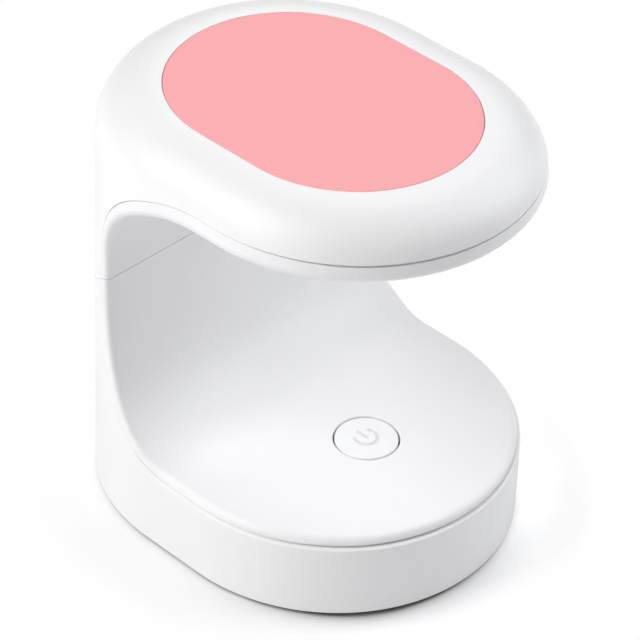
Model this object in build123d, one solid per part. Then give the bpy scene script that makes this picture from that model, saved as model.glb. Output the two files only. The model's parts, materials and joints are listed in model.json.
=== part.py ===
from build123d import *
import math
import os

os.makedirs("parts", exist_ok=True)

# Mini UV LED nail lamp, millimetres. +X is the open front, +Y a side, +Z up.
# The origin is on the resting surface, under the middle of the base.
# Seen from above, both housings are two half circles joined by straight sides.
# Seen from the side they make one C: base, column at the back, head above.

# Outline of the base housing
base_half_straight = 6.3
base_radius = 31.66
base_draft = 0.009
base_bottom_round = 0.5

# Outline of the head housing, measured against the base at the column seam
head_step = 0.12
head_draft = 0.006
head_shift = 0.73
head_extra_straight = 0.55

# Heights that stack up to the overall height
foot_stand = 0.8
floor_height = 15.2
lower_sweep_height = 28.0
column_straight = 5.0
upper_sweep_height = 18.5
head_thickness = 10.0

# Depths of the C, measured forward from the back of the base
column_depth = 20.06
lower_sweep_depth = 16.9
upper_sweep_depth = 22.4

# Parting line between the outer shells and the inner covers
part_line_drop = 1.5
part_line_back = 2.2
part_line_rise = 3.3
lip_width = 0.55
shadow_gap = 0.25
tongue_depth = 0.9

# Walls and edges
shell_wall = 1.6
head_wall = 1.8
cover_wall = 1.6
skirt_wall = 1.3
floor_edge_round = 1.2
ceiling_edge_round = 1.9

# Rounded top of the head
crown_inward = 9.9
crown_height = 8.6
top_wall = 2.4

# Seam that rings the column, falling towards the back
seam_above_floor = 30.2
seam_slope = 0.8
seam_gap = 0.24
seam_groove_depth = 0.55

# Coloured panel let into the top
inlay_rim = 0.35
inlay_straight_less = 0.65
inlay_thickness = 1.0
inlay_gap = 0.1
inlay_edge_round = 0.3

# Bottom plate, its feet and screws
bottom_wall = 1.6
bottom_gap = 0.2
ledge_width = 1.3
ledge_height = 1.2
foot_diameter = 8.0
foot_seat = 0.8
foot_edge_round = 0.3
foot_from_end = 10.15
foot_y = 13.0
cup_height = 1.2
cup_diameter = 6.4
vent_count = 5
vent_length = 12.0
vent_width = 1.4
vent_pitch = 3.6
vent_centre_x = -12.0

# Self-tapping screws
screw_diameter = 2.2
screw_head_diameter = 4.0
screw_head_height = 1.2
screw_hole_gap = 0.4
cross_width = 0.6
cross_depth = 0.6
boss_diameter = 5.0
bottom_screw_length = 8.0
front_boss_x = 20.0
front_boss_y = 17.0
back_boss_x = -12.0
back_boss_y = 20.0
column_boss_from_back = 8.4
column_boss_y = 12.0
column_boss_reach = 9.0
column_screw_length = 14.0
column_rib_width = 1.6

# Button and its switch
button_from_front = 24.16
button_diameter = 10.8
button_gap = 0.22
button_crown = 0.2
button_skirt = 2.6
button_flange_width = 0.9
button_flange_height = 0.8
button_flange_gap = 0.1
button_edge_round = 0.35
button_stem_diameter = 4.0
button_travel = 0.5
symbol_radius = 2.25
symbol_line = 0.42
symbol_depth = 0.15
symbol_gap_angle = 70.0
symbol_bar = 2.1
switch_size = 6.0
switch_height = 3.5
plunger_diameter = 3.4
plunger_stand = 1.5
plunger_seat = 1.2
plunger_gap = 0.08
press_gap = 0.05

# Control board under the floor
board_drop = 8.2
board_thickness = 1.2
board_back_x = -16.0
board_front_x = 24.0
board_half_width = 14.0
board_corner = 2.0
board_tail_half = 5.5
standoff_diameter = 4.0
standoff_front_x = 20.0
standoff_back_x = -12.0
standoff_y = 10.6
board_screw_length = 4.5

# Power inlet at the back of the base
usb_width = 8.94
usb_height = 3.26
usb_length = 7.35
usb_wall = 0.3
usb_set_in = 0.7
usb_opening_gap = 0.35
tongue_width = 6.7
tongue_thickness = 0.7
tongue_length = 5.4

# Parts on the control board
timer_length = 5.0
timer_width = 4.0
timer_height = 1.6
timer_x = 3.0
timer_y = -7.5
driver_length = 2.9
driver_width = 1.4
driver_height = 1.1
driver_x = 3.0
driver_y = 6.5
driver_pitch = 3.2
resistor_length = 2.0
resistor_width = 1.25
resistor_height = 0.55
resistor_count = 6
resistor_pitch = 2.6
resistor_x = -9.0
capacitor_diameter = 5.0
capacitor_height = 5.4
capacitor_x = -5.5
capacitor_y = -7.5
inductor_size = 5.8
inductor_height = 3.0
inductor_round = 1.2
inductor_x = -5.5
inductor_y = 7.5
socket_length = 4.5
socket_width = 6.4
socket_height = 4.6
socket_wall = 0.7
plug_length = 5.0
plug_gap = 0.1

# Lamp unit in the head
lamp_from_front = 26.46
window_half_straight = 3.0
window_radius = 12.5
window_ledge = 1.2
window_thickness = 1.2
window_recess = 0.8
window_gap = 0.15
reflector_height = 2.5
reflector_wall = 0.7
reflector_slope = 2.0
led_board_radius = 18.7
led_board_thickness = 1.2
led_board_flat = 13.0
led_size = 3.5
led_base_height = 0.5
led_dome_diameter = 3.0
led_dome_height = 0.7
led_hole_gap = 0.3
led_end_x = 10.0
led_side_x = 4.6
led_side_y = 7.4
post_diameter = 4.2
post_x = 10.2
post_y = 14.5
led_screw_length = 3.6
lead_socket_length = 3.0
lead_socket_width = 4.6
lead_socket_height = 1.5
lead_socket_from_flat = 1.0

# Leads between the boards
lead_diameter = 1.0
lead_half_pitch = 1.1
lead_behind_cover = 6.6
lead_wander = 0.8

# Worked-out heights
floor_z = foot_stand + floor_height
low_centre_z = floor_z + lower_sweep_height
high_centre_z = low_centre_z + column_straight
ceiling_z = high_centre_z + upper_sweep_height
top_z = ceiling_z + head_thickness
crown_z = top_z - crown_height
ledge_z = foot_stand + bottom_wall
cup_z = ledge_z + cup_height
board_top_z = floor_z - cover_wall - board_drop
board_bottom_z = board_top_z - board_thickness
window_z = ceiling_z + window_recess
reflector_z = window_z + window_thickness
led_board_z = reflector_z + reflector_height
led_board_top_z = led_board_z + led_board_thickness
inlay_floor_z = top_z - inlay_thickness
inner_top_z = top_z - top_wall

# Worked-out places along X
back_x = -(base_half_straight + base_radius)
front_x = base_half_straight + base_radius
column_x = back_x + column_depth
low_centre_x = column_x + lower_sweep_depth
high_centre_x = column_x + upper_sweep_depth
button_x = front_x - button_from_front
lamp_x = front_x - lamp_from_front
led_board_back_x = lamp_x - window_half_straight - led_board_flat
lead_socket_x = led_board_back_x + lead_socket_from_flat + lead_socket_length / 2
column_boss_x = back_x + column_boss_from_back
lead_x = column_x - cover_wall - lead_behind_cover

# Worked-out sections
seam_face_z = floor_z + seam_above_floor
head_half_straight = base_half_straight + head_extra_straight
board_tail_x = back_x + usb_set_in + usb_wall
reach = 2.0 * front_x
tall = 2.0 * top_z


def base_radius_at(z):
    """Radius of the base housing's end circles at a height."""
    return base_radius - base_draft * (z - foot_stand)


def head_radius_at(z):
    """Radius of the head housing's end circles at a height."""
    return base_radius_at(seam_face_z) - head_step - head_draft * (z - seam_face_z)


def seam_z(x):
    """Height of the column seam at a depth."""
    return seam_face_z + seam_slope * (x - column_x)


def flat_face(points):
    """Closed face in the XZ plane through (x, z) points."""
    corners = [(x, 0, z) for x, z in points]
    return make_face(Polyline(*corners, close=True))


def capsule(profile, half_straight, centre_x):
    """Solid of two half turns of a (radius, z) profile joined by straight sides."""
    half_turn = Rot(0, 0, -90) * revolve(profile, Axis.Z, 180)
    front = Pos(half_straight, 0, 0) * half_turn
    back = Rot(0, 0, 180) * front
    slab = extrude(profile + mirror(profile, about=Plane.YZ), amount=half_straight, both=True)
    middle = Rot(0, 0, 90) * slab
    return Pos(centre_x, 0, 0) * (front + middle + back)


def base_capsule(inset, z_low, z_high):
    """Tapered capsule that follows the base housing, set in by some millimetres."""
    r_low = base_radius_at(z_low) - inset
    r_high = base_radius_at(z_high) - inset
    profile = flat_face([(0, z_low), (r_low, z_low), (r_high, z_high), (0, z_high)])
    return capsule(profile, base_half_straight, 0)


def head_capsule(inset, z_low, z_high):
    """Tapered capsule that follows the head housing, set in by some millimetres."""
    r_low = head_radius_at(z_low) - inset
    r_high = head_radius_at(z_high) - inset
    profile = flat_face([(0, z_low), (r_low, z_low), (r_high, z_high), (0, z_high)])
    return capsule(profile, head_half_straight, head_shift)


def crowned_capsule(inset, top, z_low):
    """Head housing with its rounded crown, set in by some millimetres."""
    r_low = head_radius_at(z_low) - inset
    r_crown = head_radius_at(crown_z) - inset
    r_flat = head_radius_at(crown_z) - crown_inward
    wall = [
        Line((0, 0, z_low), (r_low, 0, z_low)),
        Line((r_low, 0, z_low), (r_crown, 0, crown_z)),
    ]
    arc = Plane.XZ * EllipticalCenterArc(
        (r_flat, crown_z), r_crown - r_flat, top - crown_z, start_angle=0, arc_size=90
    )
    lid = [
        Line((r_flat, 0, top), (0, 0, top)),
        Line((0, 0, top), (0, 0, z_low)),
    ]
    profile = make_face(wall + [arc] + lid)
    return capsule(profile, head_half_straight, head_shift)


def stadium(radius, half_straight, centre_x, z_low, z_high):
    """Upright plate or block with the capsule outline."""
    outline = Pos(centre_x, 0, z_low) * SlotCenterToCenter(2 * half_straight, 2 * radius)
    return extrude(outline, amount=z_high - z_low)


def hand_space(floor, column, ceiling):
    """Block that fills the open C up to a floor height, a column face and a ceiling."""
    low = EllipticalCenterArc(
        (low_centre_x, low_centre_z),
        low_centre_x - column,
        low_centre_z - floor,
        start_angle=180,
        arc_size=90,
    )
    high = EllipticalCenterArc(
        (high_centre_x, high_centre_z),
        high_centre_x - column,
        ceiling - high_centre_z,
        start_angle=90,
        arc_size=90,
    )
    sides = [
        Line((reach, floor), (low_centre_x, floor)),
        Line((column, low_centre_z), (column, high_centre_z)),
        Line((high_centre_x, ceiling), (reach, ceiling)),
        Line((reach, ceiling), (reach, floor)),
    ]
    face = Plane.XZ * make_face([low, high] + sides)
    return extrude(face, amount=reach, both=True)


def cover_space(depth):
    """The open C, grown from the covers' visible face by a depth."""
    return hand_space(floor_z - depth, column_x - depth, ceiling_z + depth)


def shell_space(depth):
    """The open C, grown from the shells' parting line by a depth."""
    return hand_space(
        floor_z - part_line_drop - depth,
        column_x - part_line_back - depth,
        ceiling_z + part_line_rise + depth,
    )


def below_seam(offset):
    """Everything under the column seam, moved up by an offset."""
    x_turn = column_x + shell_wall
    corners = [
        (-reach, seam_z(-reach) + offset),
        (x_turn, seam_z(x_turn) + offset),
        (reach, seam_z(x_turn) + offset),
        (reach, -tall),
        (-reach, -tall),
    ]
    return extrude(flat_face(corners), amount=reach, both=True)


def above_seam(offset):
    """Everything over the column seam, moved up by an offset."""
    x_turn = column_x + shell_wall
    corners = [
        (-reach, seam_z(-reach) + offset),
        (x_turn, seam_z(x_turn) + offset),
        (reach, seam_z(x_turn) + offset),
        (reach, tall),
        (-reach, tall),
    ]
    return extrude(flat_face(corners), amount=reach, both=True)


def peg(x, y, z_low, z_high, diameter):
    """Upright round bar."""
    return Pos(x, y, (z_low + z_high) / 2) * Cylinder(diameter / 2, z_high - z_low)


def block(x, y, z_low, length, width, height):
    """Upright box that stands on a height, centred in plan."""
    return Pos(x, y, z_low + height / 2) * Box(length, width, height)


def screw(x, y, seat_z, length, way):
    """Pan head screw. The head bears on seat_z and the shank goes up or down from it."""
    shank = Pos(0, 0, length / 2) * Cylinder(screw_diameter / 2, length)
    head = Pos(0, 0, -screw_head_height / 2) * Cylinder(screw_head_diameter / 2, screw_head_height)
    head = fillet(head.edges().group_by(Axis.Z)[0], screw_head_height / 3)
    cross_z = -screw_head_height + cross_depth / 2
    bar = screw_head_diameter * 0.6
    cross = Pos(0, 0, cross_z) * Box(bar, cross_width, cross_depth)
    cross += Pos(0, 0, cross_z) * Box(cross_width, bar, cross_depth)
    body = head - cross + shank
    if way == "down":
        body = Rot(180, 0, 0) * body
    return Pos(x, y, seat_z) * body


def radius_in_plan(x, y, half_straight, centre_x):
    """Distance of a plan point from the nearer end axis, or from the middle line."""
    return math.hypot(max(abs(x - centre_x) - half_straight, 0), y)


def on_cover_face(x, z):
    """True where a point lies on the visible face of the covers."""
    if low_centre_z <= z <= high_centre_z:
        return abs(x - column_x) < 0.02
    if z < low_centre_z and x >= low_centre_x:
        return abs(z - floor_z) < 0.02
    if z > high_centre_z and x >= high_centre_x:
        return abs(z - ceiling_z) < 0.02
    if z < low_centre_z:
        across = (x - low_centre_x) / lower_sweep_depth
        up = (z - low_centre_z) / lower_sweep_height
    else:
        across = (x - high_centre_x) / upper_sweep_depth
        up = (z - high_centre_z) / upper_sweep_height
    return abs(math.hypot(across, up) - 1) < 0.002


def rim_edges(body, radius_at, inset, half_straight, centre_x):
    """Edges where a cover's visible face meets its side."""
    found = []
    for edge in body.edges():
        middle = edge.position_at(0.5)
        side = radius_in_plan(middle.X, middle.Y, half_straight, centre_x)
        on_side = abs(side - radius_at(middle.Z) + inset) < 0.05
        if on_side and on_cover_face(middle.X, middle.Z):
            found.append(edge)
    return found


def bottom_plate_radius():
    """End radius of the bottom plate, inside the base's wall."""
    return base_radius_at(ledge_z) - shell_wall - bottom_gap


def foot_spots():
    """Plan places of the four feet, set in from the ends of the bottom plate."""
    foot_x = base_half_straight + bottom_plate_radius() - foot_from_end
    spots = []
    for x_way in (-1, 1):
        for y_way in (-1, 1):
            spots.append((x_way * foot_x, y_way * foot_y))
    return spots


def boss_spots():
    """Plan places of the four bottom screws."""
    spots = []
    for y_way in (-1, 1):
        spots.append((front_boss_x, y_way * front_boss_y))
        spots.append((back_boss_x, y_way * back_boss_y))
    return spots


def standoff_spots():
    """Plan places of the four control board screws."""
    spots = []
    for y_way in (-1, 1):
        spots.append((standoff_front_x, y_way * standoff_y))
        spots.append((standoff_back_x, y_way * standoff_y))
    return spots


def post_spots():
    """Plan places of the four lamp board screws."""
    spots = []
    for x_way in (-1, 1):
        for y_way in (-1, 1):
            spots.append((lamp_x + x_way * post_x, y_way * post_y))
    return spots


def led_spots():
    """Plan places of the six lamps."""
    spots = [(lamp_x - led_end_x, 0), (lamp_x + led_end_x, 0)]
    for x_way in (-1, 1):
        for y_way in (-1, 1):
            spots.append((lamp_x + x_way * led_side_x, y_way * led_side_y))
    return spots


def column_bosses(z_low, z_high):
    """Two bosses in the column with ribs back to the outer wall."""
    bosses = []
    rib_back = back_x + shell_wall / 2
    for y in (-column_boss_y, column_boss_y):
        boss = peg(column_boss_x, y, z_low, z_high, boss_diameter)
        rib_length = column_boss_x - rib_back
        rib_x = (column_boss_x + rib_back) / 2
        rib = block(rib_x, y, z_low, rib_length, column_rib_width, z_high - z_low)
        bosses.append(boss + rib)
    return bosses


def base_outer_shell():
    """Lower housing: ring wall, ledge for the bottom plate, back half of the column."""
    outer = base_capsule(0, foot_stand, top_z)
    bottom = outer.edges().filter_by(lambda e: abs(e.position_at(0.5).Z - foot_stand) < 0.01)
    outer = fillet(bottom, base_bottom_round)
    shell = outer - base_capsule(shell_wall, 0, tall)
    ledge_radius = base_radius_at(ledge_z) - shell_wall
    ledge = stadium(ledge_radius + shell_wall / 2, base_half_straight, 0, ledge_z, ledge_z + ledge_height)
    ledge -= stadium(ledge_radius - ledge_width, base_half_straight, 0, 0, tall)
    shell += ledge
    seam_back = seam_z(column_boss_x)
    keep_in = base_capsule(shell_wall / 2, 0, tall)
    for boss in column_bosses(seam_back - column_boss_reach, seam_back + column_boss_reach):
        shell += boss & keep_in
    shell -= shell_space(0)
    shell -= shell_space(tongue_depth) & base_capsule(lip_width, 0, tall)
    inner = shell & below_seam(0) & base_capsule(seam_groove_depth, 0, tall)
    shell = (shell & below_seam(-seam_gap / 2)) + inner
    for y in (-column_boss_y, column_boss_y):
        shell -= peg(column_boss_x, y, 0, top_z, screw_diameter + screw_hole_gap)
    mouth = extrude(
        Plane.YZ * Pos(0, usb_centre_z()) * SlotOverall(
            usb_width + 2 * usb_opening_gap, usb_height + 2 * usb_opening_gap
        ),
        amount=-reach,
    )
    return shell - mouth


def head_outer_shell():
    """Upper housing: crowned lid, front and side walls, upper back of the column."""
    z_low = floor_z
    outer = crowned_capsule(0, top_z, z_low)
    shell = outer - crowned_capsule(head_wall, inner_top_z, 0)
    seam_back = seam_z(column_boss_x)
    keep_in = crowned_capsule(head_wall / 2, inner_top_z, 0)
    for boss in column_bosses(seam_back - column_boss_reach, seam_back + column_boss_reach):
        shell += boss & keep_in
    shell -= shell_space(0)
    shell -= shell_space(tongue_depth) & crowned_capsule(lip_width, top_z - lip_width, 0)
    inner = shell & above_seam(0) & head_capsule(seam_groove_depth, 0, tall)
    shell = (shell & above_seam(seam_gap / 2)) + inner
    for y in (-column_boss_y, column_boss_y):
        shell -= peg(column_boss_x, y, 0, seam_back + column_boss_reach - shell_wall, screw_diameter)
    radius = inlay_radius() + inlay_gap
    recess = stadium(radius, inlay_half_straight(), head_shift, inlay_floor_z, tall)
    return shell - recess


def inlay_radius():
    """End radius of the coloured panel, inside the flat of the crown."""
    return head_radius_at(crown_z) - crown_inward - inlay_rim


def inlay_half_straight():
    """Half the straight side of the coloured panel."""
    return head_half_straight - inlay_straight_less


def top_inlay_panel():
    """Coloured panel that fills the recess in the crown."""
    panel = stadium(inlay_radius(), inlay_half_straight(), head_shift, inlay_floor_z, top_z)
    return fillet(panel.edges().group_by(Axis.Z)[-1], inlay_edge_round)


def base_inner_cover():
    """Floor of the hand space and lower face of the column, with skirt and bosses."""
    inset = lip_width + shadow_gap
    band = base_capsule(inset, 0, tall) & shell_space(tongue_depth)
    band = band - cover_space(0)
    band = band & below_seam(0)
    rims = rim_edges(band, base_radius_at, inset, base_half_straight, 0)
    band = fillet(rims, floor_edge_round)
    hollow = base_capsule(inset + skirt_wall, 0, tall) - cover_space(cover_wall)
    groove = above_seam(-seam_gap / 2) & cover_space(seam_groove_depth)
    cover = band - hollow - groove
    body_space = cover_space(cover_wall / 2)
    bosses = [peg(x, y, cup_z, low_centre_z, boss_diameter) for x, y in boss_spots()]
    bosses += [peg(x, y, board_top_z, low_centre_z, standoff_diameter) for x, y in standoff_spots()]
    for boss in bosses:
        cover += boss - body_space
    collar_z = floor_z - cover_wall - button_skirt + button_flange_height + button_flange_gap
    collar = peg(button_x, 0, collar_z, floor_z - cover_wall / 2, button_hole() + 2 * cover_wall)
    cover += collar
    cover -= peg(button_x, 0, 0, low_centre_z, button_hole())
    for x, y in boss_spots():
        tip = cup_z - screw_head_height + bottom_screw_length
        cover -= peg(x, y, 0, min(tip, floor_z - cover_wall), screw_diameter)
    for x, y in standoff_spots():
        cover -= peg(x, y, 0, board_bottom_z + board_screw_length, screw_diameter)
    return cover


def head_inner_cover():
    """Ceiling of the hand space and upper face of the column, with the lamp window."""
    inset = lip_width + shadow_gap
    band = crowned_capsule(inset, top_z - inset, 0) & shell_space(tongue_depth)
    band = band - cover_space(0)
    band = band & above_seam(0)
    rims = rim_edges(band, head_radius_at, inset, head_half_straight, head_shift)
    band = fillet(rims, ceiling_edge_round)
    inner = inset + skirt_wall
    hollow = crowned_capsule(inner, top_z - inner, 0) - cover_space(cover_wall)
    groove = below_seam(seam_gap / 2) & cover_space(seam_groove_depth)
    cover = band - hollow - groove
    rise = window_z + window_thickness
    seat = window_radius + window_ledge + window_gap
    wall = stadium(seat + skirt_wall, window_half_straight, lamp_x, high_centre_z, rise)
    cover += wall - cover_space(cover_wall / 2)
    cover -= stadium(window_radius, window_half_straight, lamp_x, high_centre_z, tall)
    cover -= stadium(seat, window_half_straight, lamp_x, window_z, tall)
    for x, y in post_spots():
        cover += peg(x, y, high_centre_z, led_board_z, post_diameter) - cover_space(cover_wall / 2)
    for x, y in post_spots():
        cover -= peg(x, y, led_board_top_z - led_screw_length, tall, screw_diameter)
    return cover


def bottom_plate():
    """Plate that closes the base, with screw cups, foot seats and vent slots."""
    plate = stadium(bottom_plate_radius(), base_half_straight, 0, foot_stand, ledge_z)
    for x, y in boss_spots():
        plate += peg(x, y, foot_stand, cup_z, cup_diameter)
    for x, y in boss_spots():
        plate -= peg(x, y, 0, cup_z - screw_head_height, screw_head_diameter + screw_hole_gap)
        plate -= peg(x, y, 0, tall, screw_diameter + screw_hole_gap)
    for x, y in foot_spots():
        plate -= peg(x, y, 0, foot_stand + foot_seat, foot_diameter)
    slot = extrude(Rot(0, 0, 90) * SlotOverall(vent_length, vent_width), amount=tall)
    for i in range(vent_count):
        x = vent_centre_x + (i - (vent_count - 1) / 2) * vent_pitch
        plate -= Pos(x, 0, 0) * slot
    return plate


def rubber_feet():
    """Four round feet pressed into the bottom plate."""
    feet = []
    for x, y in foot_spots():
        foot = peg(x, y, 0, foot_stand + foot_seat, foot_diameter)
        feet.append(fillet(foot.edges().group_by(Axis.Z)[0], foot_edge_round))
    return Compound(children=feet)


def bottom_screws():
    """Four screws up through the bottom plate into the floor's bosses."""
    seat = cup_z - screw_head_height
    parts = [screw(x, y, seat, bottom_screw_length, "up") for x, y in boss_spots()]
    return Compound(children=parts)


def column_screws():
    """Two screws that tie the head housing to the base housing in the column."""
    seat = seam_z(column_boss_x) - column_boss_reach
    spots = [(column_boss_x, -column_boss_y), (column_boss_x, column_boss_y)]
    parts = [screw(x, y, seat, column_screw_length, "up") for x, y in spots]
    return Compound(children=parts)


def usb_centre_z():
    """Height of the middle of the power inlet, which stands on the control board."""
    return board_top_z + usb_height / 2


def control_board():
    """Board with a tail that reaches the inlet at the back wall."""
    length = board_front_x - board_back_x
    middle = (board_front_x + board_back_x) / 2
    outline = Pos(middle, 0) * RectangleRounded(length, 2 * board_half_width, board_corner)
    tail_length = board_back_x - board_tail_x + 2 * board_corner
    tail_middle = board_tail_x + tail_length / 2
    outline += Pos(tail_middle, 0) * Rectangle(tail_length, 2 * board_tail_half)
    board = extrude(Pos(0, 0, board_bottom_z) * outline, amount=board_thickness)
    for x, y in standoff_spots():
        board -= peg(x, y, 0, tall, screw_diameter + screw_hole_gap)
    fit = extrude(Pos(0, 0, 0) * outline, amount=tall) & base_capsule(shell_wall + bottom_gap, 0, tall)
    return board & fit


def control_board_screws():
    """Four screws that hold the control board to its standoffs."""
    spots = standoff_spots()
    parts = [screw(x, y, board_bottom_z, board_screw_length, "up") for x, y in spots]
    return Compound(children=parts)


def usb_block(width, height, x_back, x_front):
    """Rounded flat bar along X at the inlet's height."""
    outline = Plane.YZ * Pos(0, usb_centre_z()) * SlotOverall(width, height)
    return Pos(x_back, 0, 0) * extrude(outline, amount=x_front - x_back)


def usb_socket_shell():
    """Metal can of the power inlet, open to the back."""
    x_back = back_x + usb_set_in
    x_front = x_back + usb_length
    can = usb_block(usb_width, usb_height, x_back, x_front)
    hole = usb_block(usb_width - 2 * usb_wall, usb_height - 2 * usb_wall, x_back, x_front - usb_wall)
    return can - hole


def usb_socket_tongue():
    """Contact tongue inside the power inlet."""
    x_root = back_x + usb_set_in + usb_length - usb_wall
    tongue = Pos(x_root - tongue_length / 2, 0, usb_centre_z()) * Box(
        tongue_length, tongue_width, tongue_thickness
    )
    root_width = usb_width - 2 * usb_wall
    root_height = usb_height - 2 * usb_wall
    root = usb_block(root_width, root_height, x_root - 2 * usb_wall, x_root)
    return tongue + root


def switch_top_z():
    """Top of the switch body on the control board."""
    return board_top_z + switch_height


def tact_switch_body():
    """Square switch body with a round hole for its plunger."""
    body = block(button_x, 0, board_top_z, switch_size, switch_size, switch_height)
    hole = plunger_diameter + 2 * plunger_gap
    z_low = switch_top_z() - plunger_seat - button_travel - plunger_gap
    return body - peg(button_x, 0, z_low, tall, hole)


def switch_plunger():
    """Round plunger that the button cap presses."""
    z_low = switch_top_z() - plunger_seat
    return peg(button_x, 0, z_low, switch_top_z() + plunger_stand, plunger_diameter)


def button_hole():
    """Diameter of the hole that the button moves in."""
    return button_diameter + 2 * button_gap


def power_symbol():
    """Generic power mark: an open ring with a bar through its gap, facing the column."""
    ring = Circle(symbol_radius + symbol_line / 2) - Circle(symbol_radius - symbol_line / 2)
    half = math.radians(symbol_gap_angle / 2)
    far = 2 * symbol_radius
    wedge = make_face(
        Polyline(
            (0, 0),
            (-far * math.cos(half), far * math.sin(half)),
            (-far * math.cos(half), -far * math.sin(half)),
            close=True,
        )
    )
    bar_x = -(symbol_radius + symbol_line / 2) + symbol_bar / 2
    bar = Pos(bar_x - symbol_line, 0) * Rectangle(symbol_bar, symbol_line)
    return [ring - wedge, bar]


def button_cap():
    """Crowned cap with a retaining flange and a stem down to the plunger."""
    radius = button_diameter / 2
    skirt_z = floor_z - cover_wall - button_skirt
    crown_radius = (radius**2 + button_crown**2) / (2 * button_crown)
    half_out = radius / 2
    half_up = floor_z + button_crown - crown_radius + math.sqrt(crown_radius**2 - half_out**2)
    profile = make_face(
        [
            Line((0, 0, skirt_z), (radius, 0, skirt_z)),
            Line((radius, 0, skirt_z), (radius, 0, floor_z)),
            ThreePointArc((radius, 0, floor_z), (half_out, 0, half_up), (0, 0, floor_z + button_crown)),
            Line((0, 0, floor_z + button_crown), (0, 0, skirt_z)),
        ]
    )
    cap = revolve(profile, Axis.Z)
    rim = cap.edges().filter_by(lambda e: abs(e.position_at(0.25).Z - floor_z) < 0.01)
    cap = Pos(button_x, 0, 0) * fillet(rim, button_edge_round)
    flange = button_hole() + 2 * button_flange_width
    cap += peg(button_x, 0, skirt_z, skirt_z + button_flange_height, flange)
    press_z = switch_top_z() + plunger_stand + press_gap
    cap += peg(button_x, 0, press_z, skirt_z + button_flange_height, button_stem_diameter)
    for mark in power_symbol():
        cut = Pos(button_x, 0, floor_z + button_crown - symbol_depth) * mark
        cap -= extrude(cut, amount=button_travel)
    return cap


def timer_chip():
    """Timer and touch controller package."""
    return block(timer_x, timer_y, board_top_z, timer_length, timer_width, timer_height)


def led_drivers():
    """Two small switching transistors."""
    parts = []
    for i in range(2):
        y = driver_y + i * driver_pitch
        parts.append(block(driver_x, y, board_top_z, driver_length, driver_width, driver_height))
    return Compound(children=parts)


def chip_resistors():
    """Row of current-setting resistors."""
    parts = []
    for i in range(resistor_count):
        x = resistor_x + i * resistor_pitch
        parts.append(block(x, 0, board_top_z, resistor_width, resistor_length, resistor_height))
    return Compound(children=parts)


def buffer_capacitor():
    """Upright can capacitor with a rounded top."""
    z_high = board_top_z + capacitor_height
    can = peg(capacitor_x, capacitor_y, board_top_z, z_high, capacitor_diameter)
    return fillet(can.edges().group_by(Axis.Z)[-1], capacitor_diameter / 12)


def boost_inductor():
    """Shielded inductor with rounded corners."""
    body = block(inductor_x, inductor_y, board_top_z, inductor_size, inductor_size, inductor_height)
    return fillet(body.edges().filter_by(Axis.Z), inductor_round)


def lead_socket_z():
    """Height of the leads at the control board."""
    return board_top_z + socket_height / 2


def board_lead_socket():
    """Two-way socket on the control board, open to the back."""
    x_middle = board_back_x + socket_length / 2
    body = block(x_middle, 0, board_top_z, socket_length, socket_width, socket_height)
    inner_width = socket_width - 2 * socket_wall
    inner_height = socket_height - 2 * socket_wall
    x_cut = x_middle - socket_wall
    hole = block(x_cut, 0, board_top_z + socket_wall, socket_length, inner_width, inner_height)
    return body - hole


def lead_plug():
    """Plug on the end of the two leads."""
    x_front = board_back_x + socket_length - socket_wall
    width = socket_width - 2 * socket_wall - 2 * plug_gap
    height = socket_height - 2 * socket_wall - 2 * plug_gap
    x_middle = x_front - plug_length / 2
    return block(x_middle, 0, lead_socket_z() - height / 2, plug_length, width, height)


def led_window():
    """Clear window that rests on the ledge in the ceiling."""
    radius = window_radius + window_ledge
    return stadium(radius, window_half_straight, lamp_x, window_z, reflector_z)


def led_reflector():
    """Bright tray between window and lamp board, with a square hole for each lamp."""
    outer = window_radius + window_ledge
    top_radius = outer - reflector_slope
    straight = 2 * window_half_straight
    low = Pos(lamp_x, 0, reflector_z) * SlotCenterToCenter(straight, 2 * outer)
    high = Pos(lamp_x, 0, led_board_z) * SlotCenterToCenter(straight, 2 * top_radius)
    body = loft([low.faces()[0], high.faces()[0]], ruled=True)
    in_low = outer - reflector_wall
    in_high = top_radius - reflector_wall
    z_high = led_board_z - reflector_wall
    low = Pos(lamp_x, 0, reflector_z) * SlotCenterToCenter(straight, 2 * in_low)
    high = Pos(lamp_x, 0, z_high) * SlotCenterToCenter(straight, 2 * in_high)
    body -= loft([low.faces()[0], high.faces()[0]], ruled=True)
    for x, y in led_spots():
        hole = led_size + 2 * led_hole_gap
        body -= block(x, y, reflector_z, hole, hole, 2 * reflector_height)
    return body


def led_board():
    """Lamp board, cut flat at the back so that the leads can pass."""
    board = stadium(led_board_radius, window_half_straight, lamp_x, led_board_z, led_board_top_z)
    width = 2 * led_board_radius
    board -= block(led_board_back_x - width / 2, 0, 0, width, width, tall)
    for x, y in post_spots():
        board -= peg(x, y, 0, tall, screw_diameter + screw_hole_gap)
    return board


def uv_leds():
    """Six lamps that hang under the lamp board, each with a domed lens."""
    lamps = []
    for x, y in led_spots():
        base = block(x, y, led_board_z - led_base_height, led_size, led_size, led_base_height)
        half = led_dome_diameter / 2
        round_radius = (half**2 + led_dome_height**2) / (2 * led_dome_height)
        face_z = led_board_z - led_base_height
        dome = Pos(x, y, face_z - led_dome_height + round_radius) * Sphere(round_radius)
        dome &= block(x, y, face_z - led_dome_height, led_size, led_size, led_dome_height + led_base_height / 2)
        lamps.append(base + dome)
    return Compound(children=lamps)


def led_board_screws():
    """Four screws down through the lamp board into the ceiling's posts."""
    spots = post_spots()
    parts = [screw(x, y, led_board_top_z, led_screw_length, "down") for x, y in spots]
    return Compound(children=parts)


def led_lead_socket():
    """Low socket on the lamp board where the leads end."""
    return block(
        lead_socket_x,
        0,
        led_board_top_z,
        lead_socket_length,
        lead_socket_width,
        lead_socket_height,
    )


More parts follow.
